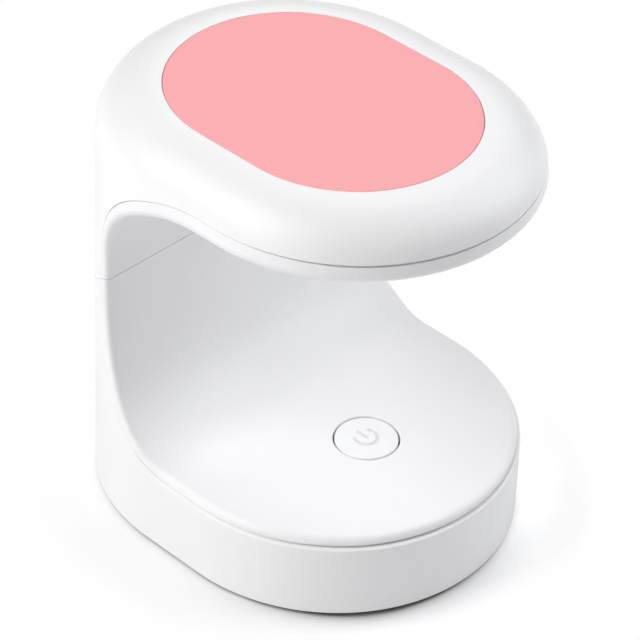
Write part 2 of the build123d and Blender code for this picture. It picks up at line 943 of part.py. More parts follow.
def bend_radii(points):
    """Radius at each inner point: as large as its two runs allow."""
    radii = []
    for before, here, after in zip(points, points[1:], points[2:]):
        run_in = Vector(*here) - Vector(*before)
        run_out = Vector(*after) - Vector(*here)
        turn = math.radians(run_in.get_angle(run_out))
        shorter = min(run_in.length, run_out.length)
        radii.append(0.45 * shorter / math.tan(turn / 2))
    return radii


def lead(y):
    """One insulated lead from the lamp board down the column to its plug."""
    start_x = lead_socket_x - lead_socket_length / 2
    end_x = board_back_x + socket_length - socket_wall - plug_length
    high_z = led_board_top_z + lead_socket_height / 2
    low_z = lead_socket_z()
    third = (high_z - low_z) / 3
    points = [
        (start_x, y, high_z),
        (lead_x, y, high_z),
        (lead_x - lead_wander, y, low_z + 2 * third),
        (lead_x + lead_wander, y, low_z + third),
        (lead_x, y, low_z),
        (end_x, y, low_z),
    ]
    radii = bend_radii(points)
    print("lead bend radii", [round(radius, 1) for radius in radii])
    path = FilletPolyline(*points, radius=radii)
    section = Plane(path @ 0, z_dir=path % 0) * Circle(lead_diameter / 2)
    tube = sweep(section, path)
    straight = math.pi * (lead_diameter / 2) ** 2 * path.length
    print("lead volume", round(tube.volume, 2), "section times length", round(straight, 2))
    return tube


def lead_positive():
    """Lead on the -Y side."""
    return lead(-lead_half_pitch)


def lead_negative():
    """Lead on the +Y side."""
    return lead(lead_half_pitch)


MAKERS = [
    base_outer_shell,
    base_inner_cover,
    bottom_plate,
    rubber_feet,
    bottom_screws,
    head_outer_shell,
    top_inlay_panel,
    head_inner_cover,
    led_window,
    led_reflector,
    led_board,
    uv_leds,
    led_board_screws,
    led_lead_socket,
    column_screws,
    control_board,
    control_board_screws,
    usb_socket_shell,
    usb_socket_tongue,
    tact_switch_body,
    switch_plunger,
    button_cap,
    timer_chip,
    led_drivers,
    chip_resistors,
    buffer_capacitor,
    boost_inductor,
    board_lead_socket,
    lead_plug,
    lead_positive,
    lead_negative,
]


for maker in MAKERS:
    export_step(maker(), f"parts/{maker.__name__}.step")
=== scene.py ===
import json
import logging
import math
from dataclasses import dataclass, field, replace
from enum import Enum
from typing import NamedTuple, Optional, Sequence

import bmesh
import bpy
import numpy as np
from mathutils import Matrix, Vector


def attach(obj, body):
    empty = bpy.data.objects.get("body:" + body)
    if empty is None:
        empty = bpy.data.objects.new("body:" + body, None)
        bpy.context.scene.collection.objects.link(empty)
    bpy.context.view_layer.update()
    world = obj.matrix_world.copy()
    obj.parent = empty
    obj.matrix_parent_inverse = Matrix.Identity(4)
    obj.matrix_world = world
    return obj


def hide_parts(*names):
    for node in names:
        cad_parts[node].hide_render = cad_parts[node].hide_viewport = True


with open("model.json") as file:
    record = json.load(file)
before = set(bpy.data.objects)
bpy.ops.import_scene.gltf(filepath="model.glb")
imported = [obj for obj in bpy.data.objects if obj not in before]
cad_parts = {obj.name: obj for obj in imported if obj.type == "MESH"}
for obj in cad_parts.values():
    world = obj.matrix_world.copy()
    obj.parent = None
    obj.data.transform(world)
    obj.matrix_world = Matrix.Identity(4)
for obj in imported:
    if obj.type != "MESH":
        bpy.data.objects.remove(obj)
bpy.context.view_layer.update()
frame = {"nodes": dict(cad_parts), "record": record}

# Mini UV LED nail lamp. Sizes are in millimetres, as a drawing gives them, and
# every mesh is turned to metres when it is made. +X is the open front, +Y a
# side, +Z up, and the origin lies on the table under the middle of the base.

MM = 0.001
WELD_REACH = 2e-7  # metres within which two points of a mesh become one
SHARP_ANGLE = 32.0  # degrees past which an edge is shaded as an edge
ELLIPSE_CHORDS = 2000  # chords over which a quarter ellipse's length is summed
CORNER_ROUNDS = 4  # rounds after which the column's corner on the seam stays where it is
SEAM_ROUNDS = 5  # rounds after which the seam's heights on a drafted wall stay where they are
Array = np.ndarray
Socket = bpy.types.NodeSocket
log = logging.getLogger("nail_lamp")


# ---------------------------------------------------------------------------
# Shapes that the housings share
# ---------------------------------------------------------------------------


def eased(value: Array, start: float, end: float) -> Array:
    """Share of the way from start to end, level at both: t squared times (3 - 2t)."""
    t = np.clip((value - start) / (end - start), 0.0, 1.0)
    return t * t * (3 - 2 * t)


class Half(Enum):
    """Half of the C, as the way from its sweep's centre to its level face."""

    LOWER = -1.0
    UPPER = 1.0


@dataclass(frozen=True)
class Outline:
    """Plan outline of a housing: two half circles joined by straight sides.

    A place on its +Y half is a run: the length from the middle of the back,
    round the side, to the middle of the front, along a nominal radius.
    """

    half_straight: float
    centre_x: float
    nominal_radius: float

    @property
    def quarter(self) -> float:
        """Run over one quarter circle."""
        return self.nominal_radius * math.pi / 2

    @property
    def half_run(self) -> float:
        """Run from the middle of the back to the middle of the front."""
        return 2 * self.quarter + 2 * self.half_straight

    def locate(self, run: Array, radius: Array, half_straight: Optional[float] = None) -> tuple[Array, Array]:
        """Plan point at a run: centre of the nearer end circle plus radius times (cos, sin) of its angle.

        Args:
            run: Places along the +Y half.
            radius: End radius there.
            half_straight: Another half straight side, to which the straights are scaled.

        Returns:
            x and y of the points.
        """
        straight = self.half_straight if half_straight is None else half_straight
        back = np.clip(run / self.nominal_radius, 0.0, math.pi / 2)
        front = np.clip((run - self.quarter - 2 * self.half_straight) / self.nominal_radius, 0.0, math.pi / 2)
        along = np.clip(run - self.quarter, 0.0, 2 * self.half_straight) - self.half_straight
        angle = math.pi - back - front
        x = self.centre_x + along * straight / self.half_straight + radius * np.cos(angle)
        return x, radius * np.sin(angle)

    def run_at(self, x: Array, y: Array) -> Array:
        """Run of a plan point, the inverse of locate: its angle on an end circle times the nominal radius."""
        dx = x - self.centre_x
        back = self.nominal_radius * np.arctan2(y, -(dx + self.half_straight))
        front = self.quarter + 2 * self.half_straight
        front = front + self.nominal_radius * np.arctan2(dx - self.half_straight, np.maximum(y, 1e-9))
        straight = self.quarter + dx + self.half_straight
        return np.where(dx < -self.half_straight, back, np.where(dx > self.half_straight, front, straight))

    def half_width(self, x: Array, radius: Array) -> Array:
        """Half the width at a depth: root of radius squared less the reach past the straight side squared."""
        past = np.maximum(np.abs(x - self.centre_x) - self.half_straight, 0.0)
        return np.sqrt(np.maximum(radius**2 - past**2, 0.0))

    def outward(self, x: Array, y: Array) -> Array:
        """Level unit vector away from the nearer end axis, or from the middle line."""
        dx = x - self.centre_x
        past = np.sign(dx) * np.maximum(np.abs(dx) - self.half_straight, 0.0)
        length = np.maximum(np.hypot(past, y), 1e-9)
        return np.stack([past / length, y / length, np.zeros_like(x)], axis=-1)


@dataclass(frozen=True)
class Wall:
    """Upright wall on an outline, with a draft that narrows it as it rises.

    A place up the wall is a climb. Here the climb is simply the height.
    """

    outline: Outline
    foot_radius: float
    foot_z: float
    draft: float

    def radius(self, climb: Array) -> Array:
        """End radius at a climb: foot radius less draft times the rise."""
        return self.foot_radius - self.draft * (climb - self.foot_z)

    def height(self, climb: Array) -> Array:
        """Height at a climb."""
        return climb

    def climb(self, z: Array) -> Array:
        """Climb at a height."""
        return z

    def tilt(self, climb: Array) -> Array:
        """Angle by which the wall's outward normal points up."""
        return np.zeros_like(climb)

    def inward(self, inset: float) -> "Wall":
        """The same wall, set in by some millimetres."""
        return replace(self, foot_radius=self.foot_radius - inset)

    def normal(self, x: Array, y: Array, z: Array) -> Array:
        """Outward unit normal: the level one turned up by the tilt."""
        tilt = self.tilt(self.climb(z))[..., None]
        up = np.array([0.0, 0.0, 1.0])
        return self.outline.outward(x, y) * np.cos(tilt) + up * np.sin(tilt)

    def point(self, run: Array, climb: Array) -> Array:
        """Points of the wall at runs and climbs."""
        x, y = self.outline.locate(run, self.radius(climb))
        return np.stack([x, y, np.broadcast_to(self.height(climb), x.shape)], axis=-1)


@dataclass(frozen=True)
class CrownedWall(Wall):
    """Wall whose top turns inwards as a quarter ellipse.

    Past the crown's foot, the climb goes on as the ellipse's angle times the
    mean of its two half axes.
    """

    crown_z: float
    crown_inward: float
    top_z: float

    @property
    def pace(self) -> float:
        """Climb per radian of the crown."""
        return (self.crown_inward + self.top_z - self.crown_z) / 2

    @property
    def last_climb(self) -> float:
        """Climb at the end of the crown, where it is level."""
        return self.crown_z + self.pace * math.pi / 2

    @property
    def flat_radius(self) -> float:
        """End radius where the crown is level."""
        return self.foot_radius - self.draft * (self.crown_z - self.foot_z) - self.crown_inward

    def angle(self, climb: Array) -> Array:
        """Angle round the crown's ellipse, zero on the wall."""
        return np.clip((climb - self.crown_z) / self.pace, 0.0, math.pi / 2)

    def radius(self, climb: Array) -> Array:
        """Drafted radius on the wall; flat radius plus the inward reach times the angle's cosine on the crown."""
        wall = self.foot_radius - self.draft * (climb - self.foot_z)
        crown = self.flat_radius + self.crown_inward * np.cos(self.angle(climb))
        return np.where(climb < self.crown_z, wall, crown)

    def height(self, climb: Array) -> Array:
        """Climb on the wall; crown foot plus the crown's height times the angle's sine on the crown."""
        crown = self.crown_z + (self.top_z - self.crown_z) * np.sin(self.angle(climb))
        return np.where(climb < self.crown_z, climb, crown)

    def climb(self, z: Array) -> Array:
        """Climb at a height, through the arc sine on the crown."""
        share = np.clip((z - self.crown_z) / (self.top_z - self.crown_z), 0.0, 1.0)
        return np.where(z < self.crown_z, z, self.crown_z + self.pace * np.arcsin(share))

    def tilt(self, climb: Array) -> Array:
        """Tilt of the ellipse's normal: arc tangent of (sine over its height) over (cosine over its reach)."""
        angle = self.angle(climb)
        return np.arctan2(np.sin(angle) / (self.top_z - self.crown_z), np.cos(angle) / self.crown_inward)

    def inward(self, inset: float) -> "CrownedWall":
        """The same wall and crown, set in by some millimetres."""
        return replace(
            self,
            foot_radius=self.foot_radius - inset,
            crown_inward=self.crown_inward - inset,
            top_z=self.top_z - inset,
        )


@dataclass(frozen=True)
class Sweep:
    """Half of the open C seen from the side: column face, quarter ellipse, level face.

    A place along it is a travel, which is zero where the ellipse leaves the
    column, negative up or down the column, and grows towards the front.
    """

    half: Half
    column_x: float
    centre_x: float
    centre_z: float
    level_z: float

    @property
    def reach(self) -> float:
        """Half axis of the ellipse along X."""
        return self.centre_x - self.column_x

    @property
    def rise(self) -> float:
        """Half axis of the ellipse along Z."""
        return abs(self.level_z - self.centre_z)

    def grown(self, depth: float) -> "Sweep":
        """The same half C, cut deeper into the column and the level face."""
        level = self.level_z + self.half.value * depth
        return replace(self, column_x=self.column_x - depth, level_z=level)

    def table(self) -> tuple[Array, Array]:
        """Angles from 0 to 90 degrees and the ellipse's length up to each, summed over chords."""
        angle = np.linspace(0.0, math.pi / 2, ELLIPSE_CHORDS + 1)
        chord = np.hypot(np.diff(self.reach * np.cos(angle)), np.diff(self.rise * np.sin(angle)))
        return angle, np.concatenate([[0.0], np.cumsum(chord)])

    def even_angles(self, start: float, count: int) -> Array:
        """Angles from start to 90 degrees, evenly spaced by length, without the last."""
        angle, length = self.table()
        first = np.interp(start, angle, length)
        return np.interp(np.linspace(first, length[-1], count + 1)[:-1], length, angle)

    def on_arc(self, angle: Array) -> tuple[Array, Array]:
        """x and z at an angle: centre less reach times cosine, centre plus or minus rise times sine."""
        x = self.centre_x - self.reach * np.cos(angle)
        return x, self.centre_z + self.half.value * self.rise * np.sin(angle)

    def facing(self, x: Array, z: Array) -> Array:
        """Unit normal towards the open C: forwards on the column, up or down on the level face."""
        way = self.half.value
        nx = np.where(x < self.centre_x, (self.centre_x - x) / self.reach**2, 0.0)
        nz = np.where(way * (z - self.centre_z) > 0, (self.centre_z - z) / self.rise**2, 0.0)
        nz = np.where(x < self.centre_x, nz, -way)
        length = np.maximum(np.hypot(nx, nz), 1e-9)
        return np.stack([nx / length, np.zeros_like(x), nz / length], axis=-1)

    def travel(self, x: Array, z: Array) -> Array:
        """Travel of a point: ellipse length at its angle, or straight lengths beyond either end."""
        way = self.half.value
        angle, length = self.table()
        across = (self.centre_x - x) / self.reach
        up = np.maximum(way * (z - self.centre_z) / self.rise, 0.0)
        arc = np.interp(np.arctan2(up, np.maximum(across, 0.0)), angle, length)
        column = way * (z - self.centre_z)
        level = length[-1] + x - self.centre_x
        return np.where(x >= self.centre_x, level, np.where(column <= 0, column, arc))

    def travel_at_depth(self, x: Array) -> Array:
        """Travel where the sweep or the level face is at a depth x."""
        angle = np.arccos(np.clip((self.centre_x - x) / self.reach, 0.0, 1.0))
        z = self.centre_z + self.half.value * self.rise * np.sin(angle)
        return self.travel(x, z)

    def place(self, travel: Array) -> tuple[Array, Array]:
        """x and z at a travel, the inverse of travel."""
        way = self.half.value
        angle, length = self.table()
        x, z = self.on_arc(np.interp(travel, length, angle))
        z = np.where(travel < 0, self.centre_z + way * travel, z)
        x = np.where(travel > length[-1], self.centre_x + travel - length[-1], x)
        return x, z


@dataclass(frozen=True)
class Seam:
    """Plane that parts the upper from the lower half, falling towards the back."""

    face_x: float = -17.9
    face_z: float = 46.83
    slope: float = 0.8

    def height(self, x: Array, lift: float) -> Array:
        """Height of the plane at a depth, moved up by lift."""
        return self.face_z + self.slope * (x - self.face_x) + lift

    @property
    def stretch(self) -> float:
        """Height on the plane per millimetre along its normal."""
        return math.hypot(self.slope, 1.0)

    def facing(self, half: Half) -> Array:
        """Unit normal out of the lower half, or out of the upper one."""
        way = -half.value
        return np.array([-way * self.slope, 0.0, way]) / self.stretch


@dataclass(frozen=True)
class Stations:
    """How many points an edge has on each of its stretches, for one side of the lamp."""

    seam: int = 62
    column: int = 6
    sweep: int = 72
    side: int = 14
    front: int = 84


class Edge(NamedTuple):
    """One side of a closed edge: its points, and the outward normal of the face that cuts the wall there."""

    points: Array
    facing: Array


def edge_curve(wall: Wall, sweep: Sweep, seam: Seam, lift: float, stations: Stations, with_seam: bool) -> Edge:
    """Where a wall meets the open C and the seam, for y of zero and more.

    The stretches are the seam (by angle round the back circle), the column
    (by height), the ellipse (evenly by length), the straight side (by x) and
    the front quarter circle (by angle). Beyond the seam, y is the outline's
    half width at x for the wall's radius at z.

    Args:
        wall: The wall.
        sweep: The half C that cuts it.
        seam: The seam's plane.
        lift: How far the seam is moved up.
        stations: Points on each stretch.
        with_seam: Whether the seam's own stretch, round the back, is wanted.

    Returns:
        The edge from the middle of the back, or from the column, to the middle of the front.
    """
    way = sweep.half.value
    corner_x = sweep.column_x
    for _ in range(CORNER_ROUNDS):
        corner_z = float(seam.height(np.array(corner_x), lift))
        start = math.asin(min(max(way * (corner_z - sweep.centre_z) / sweep.rise, 0.0), 1.0))
        corner_x = sweep.centre_x - sweep.reach * math.cos(start)
    column_end = sweep.centre_z if start == 0.0 else corner_z
    outline = wall.outline
    column_z = np.linspace(corner_z, column_end, stations.column + 1)[:-1]
    arc_x, arc_z = sweep.on_arc(sweep.even_angles(start, stations.sweep))
    side_x = np.linspace(sweep.centre_x, outline.centre_x + outline.half_straight, stations.side + 1)[:-1]
    x = np.concatenate([np.full_like(column_z, corner_x), arc_x, side_x])
    z = np.concatenate([column_z, arc_z, np.full_like(side_x, sweep.level_z)])
    y = outline.half_width(x, wall.radius(wall.climb(z)))
    turn = np.linspace(math.pi / 2, 0.0, stations.front + 1)
    radius = wall.radius(wall.climb(np.array(sweep.level_z)))
    x = np.concatenate([x, outline.centre_x + outline.half_straight + radius * np.cos(turn)])
    y = np.concatenate([y, radius * np.sin(turn)])
    z = np.concatenate([z, np.full_like(turn, sweep.level_z)])
    facing = sweep.facing(x, z)
    points = np.stack([x, y, z], axis=-1)
    if not with_seam:
        return Edge(points, facing)
    back_x = outline.centre_x - outline.half_straight
    radius = wall.radius(wall.climb(np.array(corner_z)))
    last = math.acos((back_x - corner_x) / float(radius))
    turn = np.linspace(0.0, last, stations.seam + 1)
    seam_z = np.full_like(turn, corner_z)
    for _ in range(SEAM_ROUNDS):
        radius = wall.radius(wall.climb(seam_z))
        seam_z = seam.height(back_x - radius * np.cos(turn), lift)
    back = np.stack([back_x - radius * np.cos(turn), radius * np.sin(turn), seam_z], axis=-1)
    back_facing = np.broadcast_to(seam.facing(sweep.half), back.shape)
    return Edge(np.concatenate([back, points]), np.concatenate([back_facing, facing]))


@dataclass(frozen=True)
class Change:
    """Where an edge passes from its shape on the column to that on the level face, as two angles of the sweep."""

    start: float = math.radians(20.0)
    end: float = math.radians(80.0)

    def edge(
        self, wall: Wall, sweep: Sweep, lift: float, stations: Stations, with_seam: bool,
        inset: tuple[float, float], depth: tuple[float, float],
    ) -> tuple[Edge, Array]:
        """Edge whose inset and depth pass from their column values to their level ones, eased between the angles.

        Args:
            wall: The outer wall.
            sweep: The half C that cuts it.
            lift: How far the seam is moved up.
            stations: Points on each stretch.
            with_seam: Whether the seam's own stretch is wanted.
            inset: How far the wall is set in, on the column and on the level face.
            depth: How far the sweep is grown, likewise.

        Returns:
            The edge, and a column with the share of the level value at each point.
        """
        ends = [
            edge_curve(wall.inward(i), sweep.grown(d), SEAM, lift, stations, with_seam) for i, d in zip(inset, depth)
        ]
        x, z = ends[1].points[:, 0], ends[1].points[:, 2]
        up = sweep.half.value * (z - sweep.centre_z) / sweep.rise
        angle = np.arctan2(np.maximum(up, 0.0), np.maximum(sweep.centre_x - x, 0.0) / sweep.reach)
        share = eased(angle, self.start, self.end)[:, None]
        facing = ends[0].facing * (1 - share) + ends[1].facing * share
        facing = facing / np.linalg.norm(facing, axis=1, keepdims=True)
        return Edge(ends[0].points * (1 - share) + ends[1].points * share, facing), share


@dataclass(frozen=True)
class Growth:
    """A size that grows towards the front: by how much, and between which depths."""

    amount: float
    start_x: float
    end_x: float

    def lifted(self, points: Array, way: float) -> Array:
        """Points moved along Z by way times the amount, eased between both depths."""
        share = eased(points[..., 0:1], self.start_x, self.end_x)
        return points + share * self.amount * way * np.array([0.0, 0.0, 1.0])


def rolled(centre: Array, first: Array, second: Array, radius: float | Array, steps: int) -> Array:
    """Rounded edge as a ball would leave it: centre plus radius times a normal that turns from first to second.

    The turn is a spherical one: (sin((1-t)a) first + sin(t a) second) / sin a, with a the angle between them.

    Args:
        centre: Ball centres along the edge.
        first: Unit normals of the face that the edge starts on.
        second: Unit normals of the face that it ends on.
        radius: The ball's radius, one or a column of them.
        steps: Strips across the edge.

    Returns:
        Rows of points, one more than the strips.
    """
    cosine = np.clip(np.sum(first * second, axis=-1, keepdims=True), -0.9999, 0.9999)
    angle = np.arccos(cosine)
    t = np.linspace(0.0, 1.0, steps + 1)[:, None, None]
    blend = (np.sin((1 - t) * angle) * first + np.sin(t * angle) * second) / np.sin(angle)
    return centre + radius * blend


def between(first: Array, second: Array, strips: int) -> Array:
    """Rows strictly between two rows of points, on straight lines from one to the other."""
    t = np.linspace(0.0, 1.0, strips + 1)[1:-1, None, None]
    return first * (1 - t) + second * t


def up_wall(wall: Wall, low: tuple[Array, Array], high: tuple[Array, Array], strips: int) -> Array:
    """Rows of a wall from one (run, climb) curve to another, on straight lines in the unrolled wall."""
    t = np.linspace(0.0, 1.0, strips + 1)[:, None]
    return wall.point(low[0] * (1 - t) + high[0] * t, low[1] * (1 - t) + high[1] * t)


def run_and_climb(wall: Wall, points: Array) -> tuple[Array, Array]:
    """Run and climb of points on a wall."""
    return wall.outline.run_at(points[:, 0], points[:, 1]), wall.climb(points[:, 2])


def mirrored(points: Array) -> Array:
    """The same points on the other side of the lamp."""
    return points * np.array([1.0, -1.0, 1.0])


def full_rows(half: Array) -> Array:
    """Closed rows from half rows that start and end on the middle line."""
    return np.concatenate([half, mirrored(half[:, 1:-1])[:, ::-1]], axis=1)


def open_rows(half: Array) -> Array:
    """Rows from one end of the seam, round the front, to its other end."""
    return np.concatenate([half, mirrored(half[:, :-1])[:, ::-1]], axis=1)


class Skin(NamedTuple):
    """Points and four-sided faces of a surface."""

    points: Array
    faces: Array


def woven(rows: Array, ring: bool, tube: bool = False) -> Skin:
    """Grid of points to faces: each joins a point, its neighbour along the row, and the two on the next row.

    Args:
        rows: Points, as rows by columns by 3.
        ring: Whether each row closes on itself.
        tube: Whether the last row joins the first.

    Returns:
        The surface.
    """
    count, width = rows.shape[:2]
    i = np.arange(count if tube else count - 1)[:, None]
    j = np.arange(width if ring else width - 1)[None, :]
    here, beyond = i * width, (i + 1) % count * width
    j_next = (j + 1) % width
    faces = np.stack([here + j, here + j_next, beyond + j_next, beyond + j], axis=-1)
    return Skin(rows.reshape(-1, 3), faces.reshape(-1, 4))


def lathe(profile: Sequence[tuple[float, float]], x: float, y: float, around: int = 40, tube: bool = False) -> Skin:
    """Profile of (radius, z) turned about an upright axis: (x + r cos a, y + r sin a, z).

    Args:
        profile: Radius and height of each ring.
        x: Place of the axis.
        y: Place of the axis.
        around: Points round.
        tube: Whether the last ring joins the first.

    Returns:
        The surface.
    """
    shape = np.array(profile)
    angle = np.linspace(0.0, 2 * math.pi, around, endpoint=False)
    rows = np.stack(
        [
            x + shape[:, :1] * np.cos(angle),
            y + shape[:, :1] * np.sin(angle),
            np.broadcast_to(shape[:, 1:], (len(shape), around)),
        ],
        axis=-1,
    )
    return woven(rows, ring=True, tube=tube)


class Boss(NamedTuple):
    """Upright moulded boss: place of its axis, lowest and highest z, and both radii."""

    x: float
    y: float
    low: float
    high: float
    outer: float
    inner: float

    @property
    def chamfer(self) -> float:
        """Chamfer of its edges: a quarter of its wall, and 0.15 mm at most."""
        return min(0.15, (self.outer - self.inner) / 4)


def sleeve(boss: Boss) -> Skin:
    """Boss as a closed tube with a chamfered mouth at each end."""
    x, y, low, high, outer, inner = boss
    edge = boss.chamfer
    profile = [
        (outer, low + edge), (outer, high - edge), (outer - edge, high), (inner + edge, high),
        (inner, high - edge), (inner, low + edge), (inner + edge, low), (outer - edge, low),
    ]
    return lathe(profile, x, y, tube=True)


def blind_sleeve(boss: Boss, end: float) -> Skin:
    """Boss with a chamfered mouth below and a solid end above."""
    x, y, low, high, outer, inner = boss
    edge = boss.chamfer
    profile = [
        (0.0, high), (outer - edge, high), (outer, high - edge), (outer, low + edge), (outer - edge, low),
        (inner + edge, low), (inner, low + edge), (inner, high - end), (0.0, high - end),
    ]
    return lathe(profile, x, y)


def block(low: Sequence[float], high: Sequence[float]) -> Skin:
    """Closed box between two corners."""
    corners = np.array([[x, y, z] for x in (low[0], high[0]) for y in (low[1], high[1]) for z in (low[2], high[2])])
    sides = [(0, 1, 3, 2), (4, 6, 7, 5), (0, 4, 5, 1), (2, 3, 7, 6), (0, 2, 6, 4), (1, 5, 7, 3)]
    return Skin(corners.astype(float), np.array(sides))


# ---------------------------------------------------------------------------
# From points to pieces
# ---------------------------------------------------------------------------


def closed_mesh(name: str, skins: Sequence[Skin], sharp: float = SHARP_ANGLE) -> bpy.types.Mesh:
    """Puts surfaces into one closed mesh whose faces point outwards.

    Points that lie together become one, so seams and poles close. What is
    still open, such as the cut at the column's seam, is filled.

    Args:
        name: The mesh's name.
        skins: Its surfaces, in millimetres.
        sharp: Angle in degrees past which an edge is shaded as an edge.

    Returns:
        The mesh.
    """
    offsets = np.cumsum([0] + [len(skin.points) for skin in skins])
    points = np.concatenate([skin.points for skin in skins]) * MM
    faces = np.concatenate([skin.faces + start for skin, start in zip(skins, offsets)])
    mesh = bpy.data.meshes.new(name)
    mesh.from_pydata(points.tolist(), [], faces.tolist())
    work = bmesh.new()
    work.from_mesh(mesh)
    bmesh.ops.remove_doubles(work, verts=work.verts, dist=WELD_REACH)
    bmesh.ops.dissolve_degenerate(work, dist=WELD_REACH / 20, edges=work.edges)
    open_edges = [edge for edge in work.edges if edge.is_boundary]
    if open_edges:
        filled = bmesh.ops.holes_fill(work, edges=open_edges, sides=0)["faces"]
        bmesh.ops.triangulate(work, faces=filled)
    bmesh.ops.recalc_face_normals(work, faces=work.faces)
    still_open = sum(1 for edge in work.edges if not edge.is_manifold)
    work.to_mesh(mesh)
    work.free()
    mesh.shade_smooth()
    mesh.set_sharp_from_angle(angle=math.radians(sharp))
    log.info("%s: %d faces, %d open or shared edges", name, len(mesh.polygons), still_open)
    return mesh


def add_object(name: str, data: bpy.types.ID) -> bpy.types.Object:
    """Puts a mesh, a light or a camera into the scene, as an object at the origin."""
    thing = bpy.data.objects.new(name, data)
    bpy.context.scene.collection.objects.link(thing)
    return thing


def make_piece(
    name: str, skins: Sequence[Skin], body: str, node: str, sharp: float = SHARP_ANGLE
) -> bpy.types.Object:
    """Makes one piece of surfaces and seats it on its body.

    Args:
        name: The piece's name.
        skins: Its surfaces, in millimetres.
        body: The body that it rides on.
        node: The node that it stands for.
        sharp: Angle in degrees past which an edge is shaded as an edge.

    Returns:
        The piece.
    """
    piece = add_object(name, closed_mesh(name, skins, sharp))
    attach(piece, body)
    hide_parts(node)
    return piece


def add_mesh(piece: bpy.types.Object, mesh: bpy.types.Mesh) -> None:
    """Adds a closed mesh to a piece as it stands, and drops the mesh itself."""
    work = bmesh.new()
    work.from_mesh(piece.data)
    work.from_mesh(mesh)
    work.to_mesh(piece.data)
    work.free()
    bpy.data.meshes.remove(mesh)


# ---------------------------------------------------------------------------
# Housings
# ---------------------------------------------------------------------------


BASE_WALL = Wall(Outline(6.3, 0.0, 31.66), foot_radius=31.66, foot_z=0.55, draft=0.0105)
HEAD_WALL = CrownedWall(
    Outline(6.85, 0.73, 31.0), foot_radius=31.2222, foot_z=46.2, draft=0.01,
    crown_z=68.9, crown_inward=9.9, top_z=77.5,
)
FLOOR_SWEEP = Sweep(Half.LOWER, column_x=-19.5, centre_x=-1.0, centre_z=44.0, level_z=16.0)
CEILING_SWEEP = Sweep(Half.UPPER, column_x=-19.5, centre_x=4.5, centre_z=49.0, level_z=67.5)
BASE_PARTING = Sweep(Half.LOWER, column_x=-20.8, centre_x=-1.0, centre_z=44.0, level_z=14.5)
HEAD_PARTING = Sweep(Half.UPPER, column_x=-20.9, centre_x=4.5, centre_z=49.0, level_z=71.15)
SEAM = Seam()
LATE_CHANGE = Change(start=math.radians(58.0), end=math.radians(90.0))


@dataclass(frozen=True)
class Housing:
    """What both outer shells share: their lip, its rebate and the two column bosses."""

    wall: Wall
    parting: Sweep
    thickness: float
    lip_width: float = 0.55
    lip_round: tuple[float, float] = (0.12, 0.12)
    lip_drop: Growth = Growth(0.0, 10.0, 36.0)
    rebate: float = 0.95
    seam_gap: float = 0.06
    change: Change = Change()
    boss_x: float = -29.56
    boss_y: float = 12.0
    boss_radius: float = 2.5
    boss_reach: float = 9.0
    boss_end: float = 1.6
    rib_width: float = 1.6
    stations: Stations = field(default_factory=Stations)
    lip_strips: int = 6

    @property
    def lift(self) -> float:
        """How far the outer skin stays back from the seam's plane."""
        return self.parting.half.value * self.seam_gap / 2

    def lip(self) -> Array:
        """Half rows of the rounded lip, from the outer wall to its inner edge."""
        way = self.parting.half.value
        on_column, on_level = self.lip_round
        back = self.lift + way * on_column * SEAM.stretch
        ball, share = self.change.edge(
            self.wall, self.parting, back, self.stations, True, self.lip_round, self.lip_round
        )
        radius = on_column * (1 - share) + on_level * share
        outward = self.wall.normal(*ball.points.T)
        rows = rolled(ball.points, outward, ball.facing, radius, self.lip_strips)
        edge = edge_curve(self.wall.inward(self.lip_width), self.parting, SEAM, self.lift, self.stations, True)
        return self.lip_drop.lifted(np.concatenate([rows, edge.points[None]]), way)

    def rebate_row(self, wall: Wall) -> Array:
        """Half row at the rebate's floor, on a wall."""
        return edge_curve(wall, self.parting.grown(self.rebate), SEAM, 0.0, self.stations, True).points

    def bosses(self, hole: float) -> list[Skin]:
        """Two screw bosses in the column, each with a rib back to the outer wall.

        A boss goes from the seam to its end, which is open in the base and
        solid in the head. The end at the seam is cut along the seam's plane:
        its height changes by the seam's slope times the distance from the axis.

        Args:
            hole: Diameter of the screw's hole.

        Returns:
            The bosses and their ribs.
        """
        way = self.parting.half.value
        seam_z = float(SEAM.height(np.array(self.boss_x), self.lift))
        low, high = sorted((seam_z, seam_z + way * self.boss_reach))
        middle = self.wall.inward(self.thickness / 2)
        side = self.boss_y + self.rib_width / 2
        reach = math.sqrt(float(middle.radius(np.array(high))) ** 2 - side**2)
        back = self.wall.outline.centre_x - self.wall.outline.half_straight - reach
        front = self.boss_x - (self.boss_radius + hole / 2) / 2
        skins = []
        for y in (-self.boss_y, self.boss_y):
            boss = Boss(self.boss_x, y, low, high, self.boss_radius, hole / 2)
            skins.append(blind_sleeve(boss, self.boss_end) if self.parting.half is Half.UPPER else sleeve(boss))
            skins.append(block((back, y - self.rib_width / 2, low), (front, y + self.rib_width / 2, high)))
        for skin in skins:
            near = np.abs(skin.points[:, 2] - seam_z) < self.boss_reach / 2
            skin.points[:, 2] += np.where(near, SEAM.slope * (skin.points[:, 0] - self.boss_x), 0.0)
        return skins


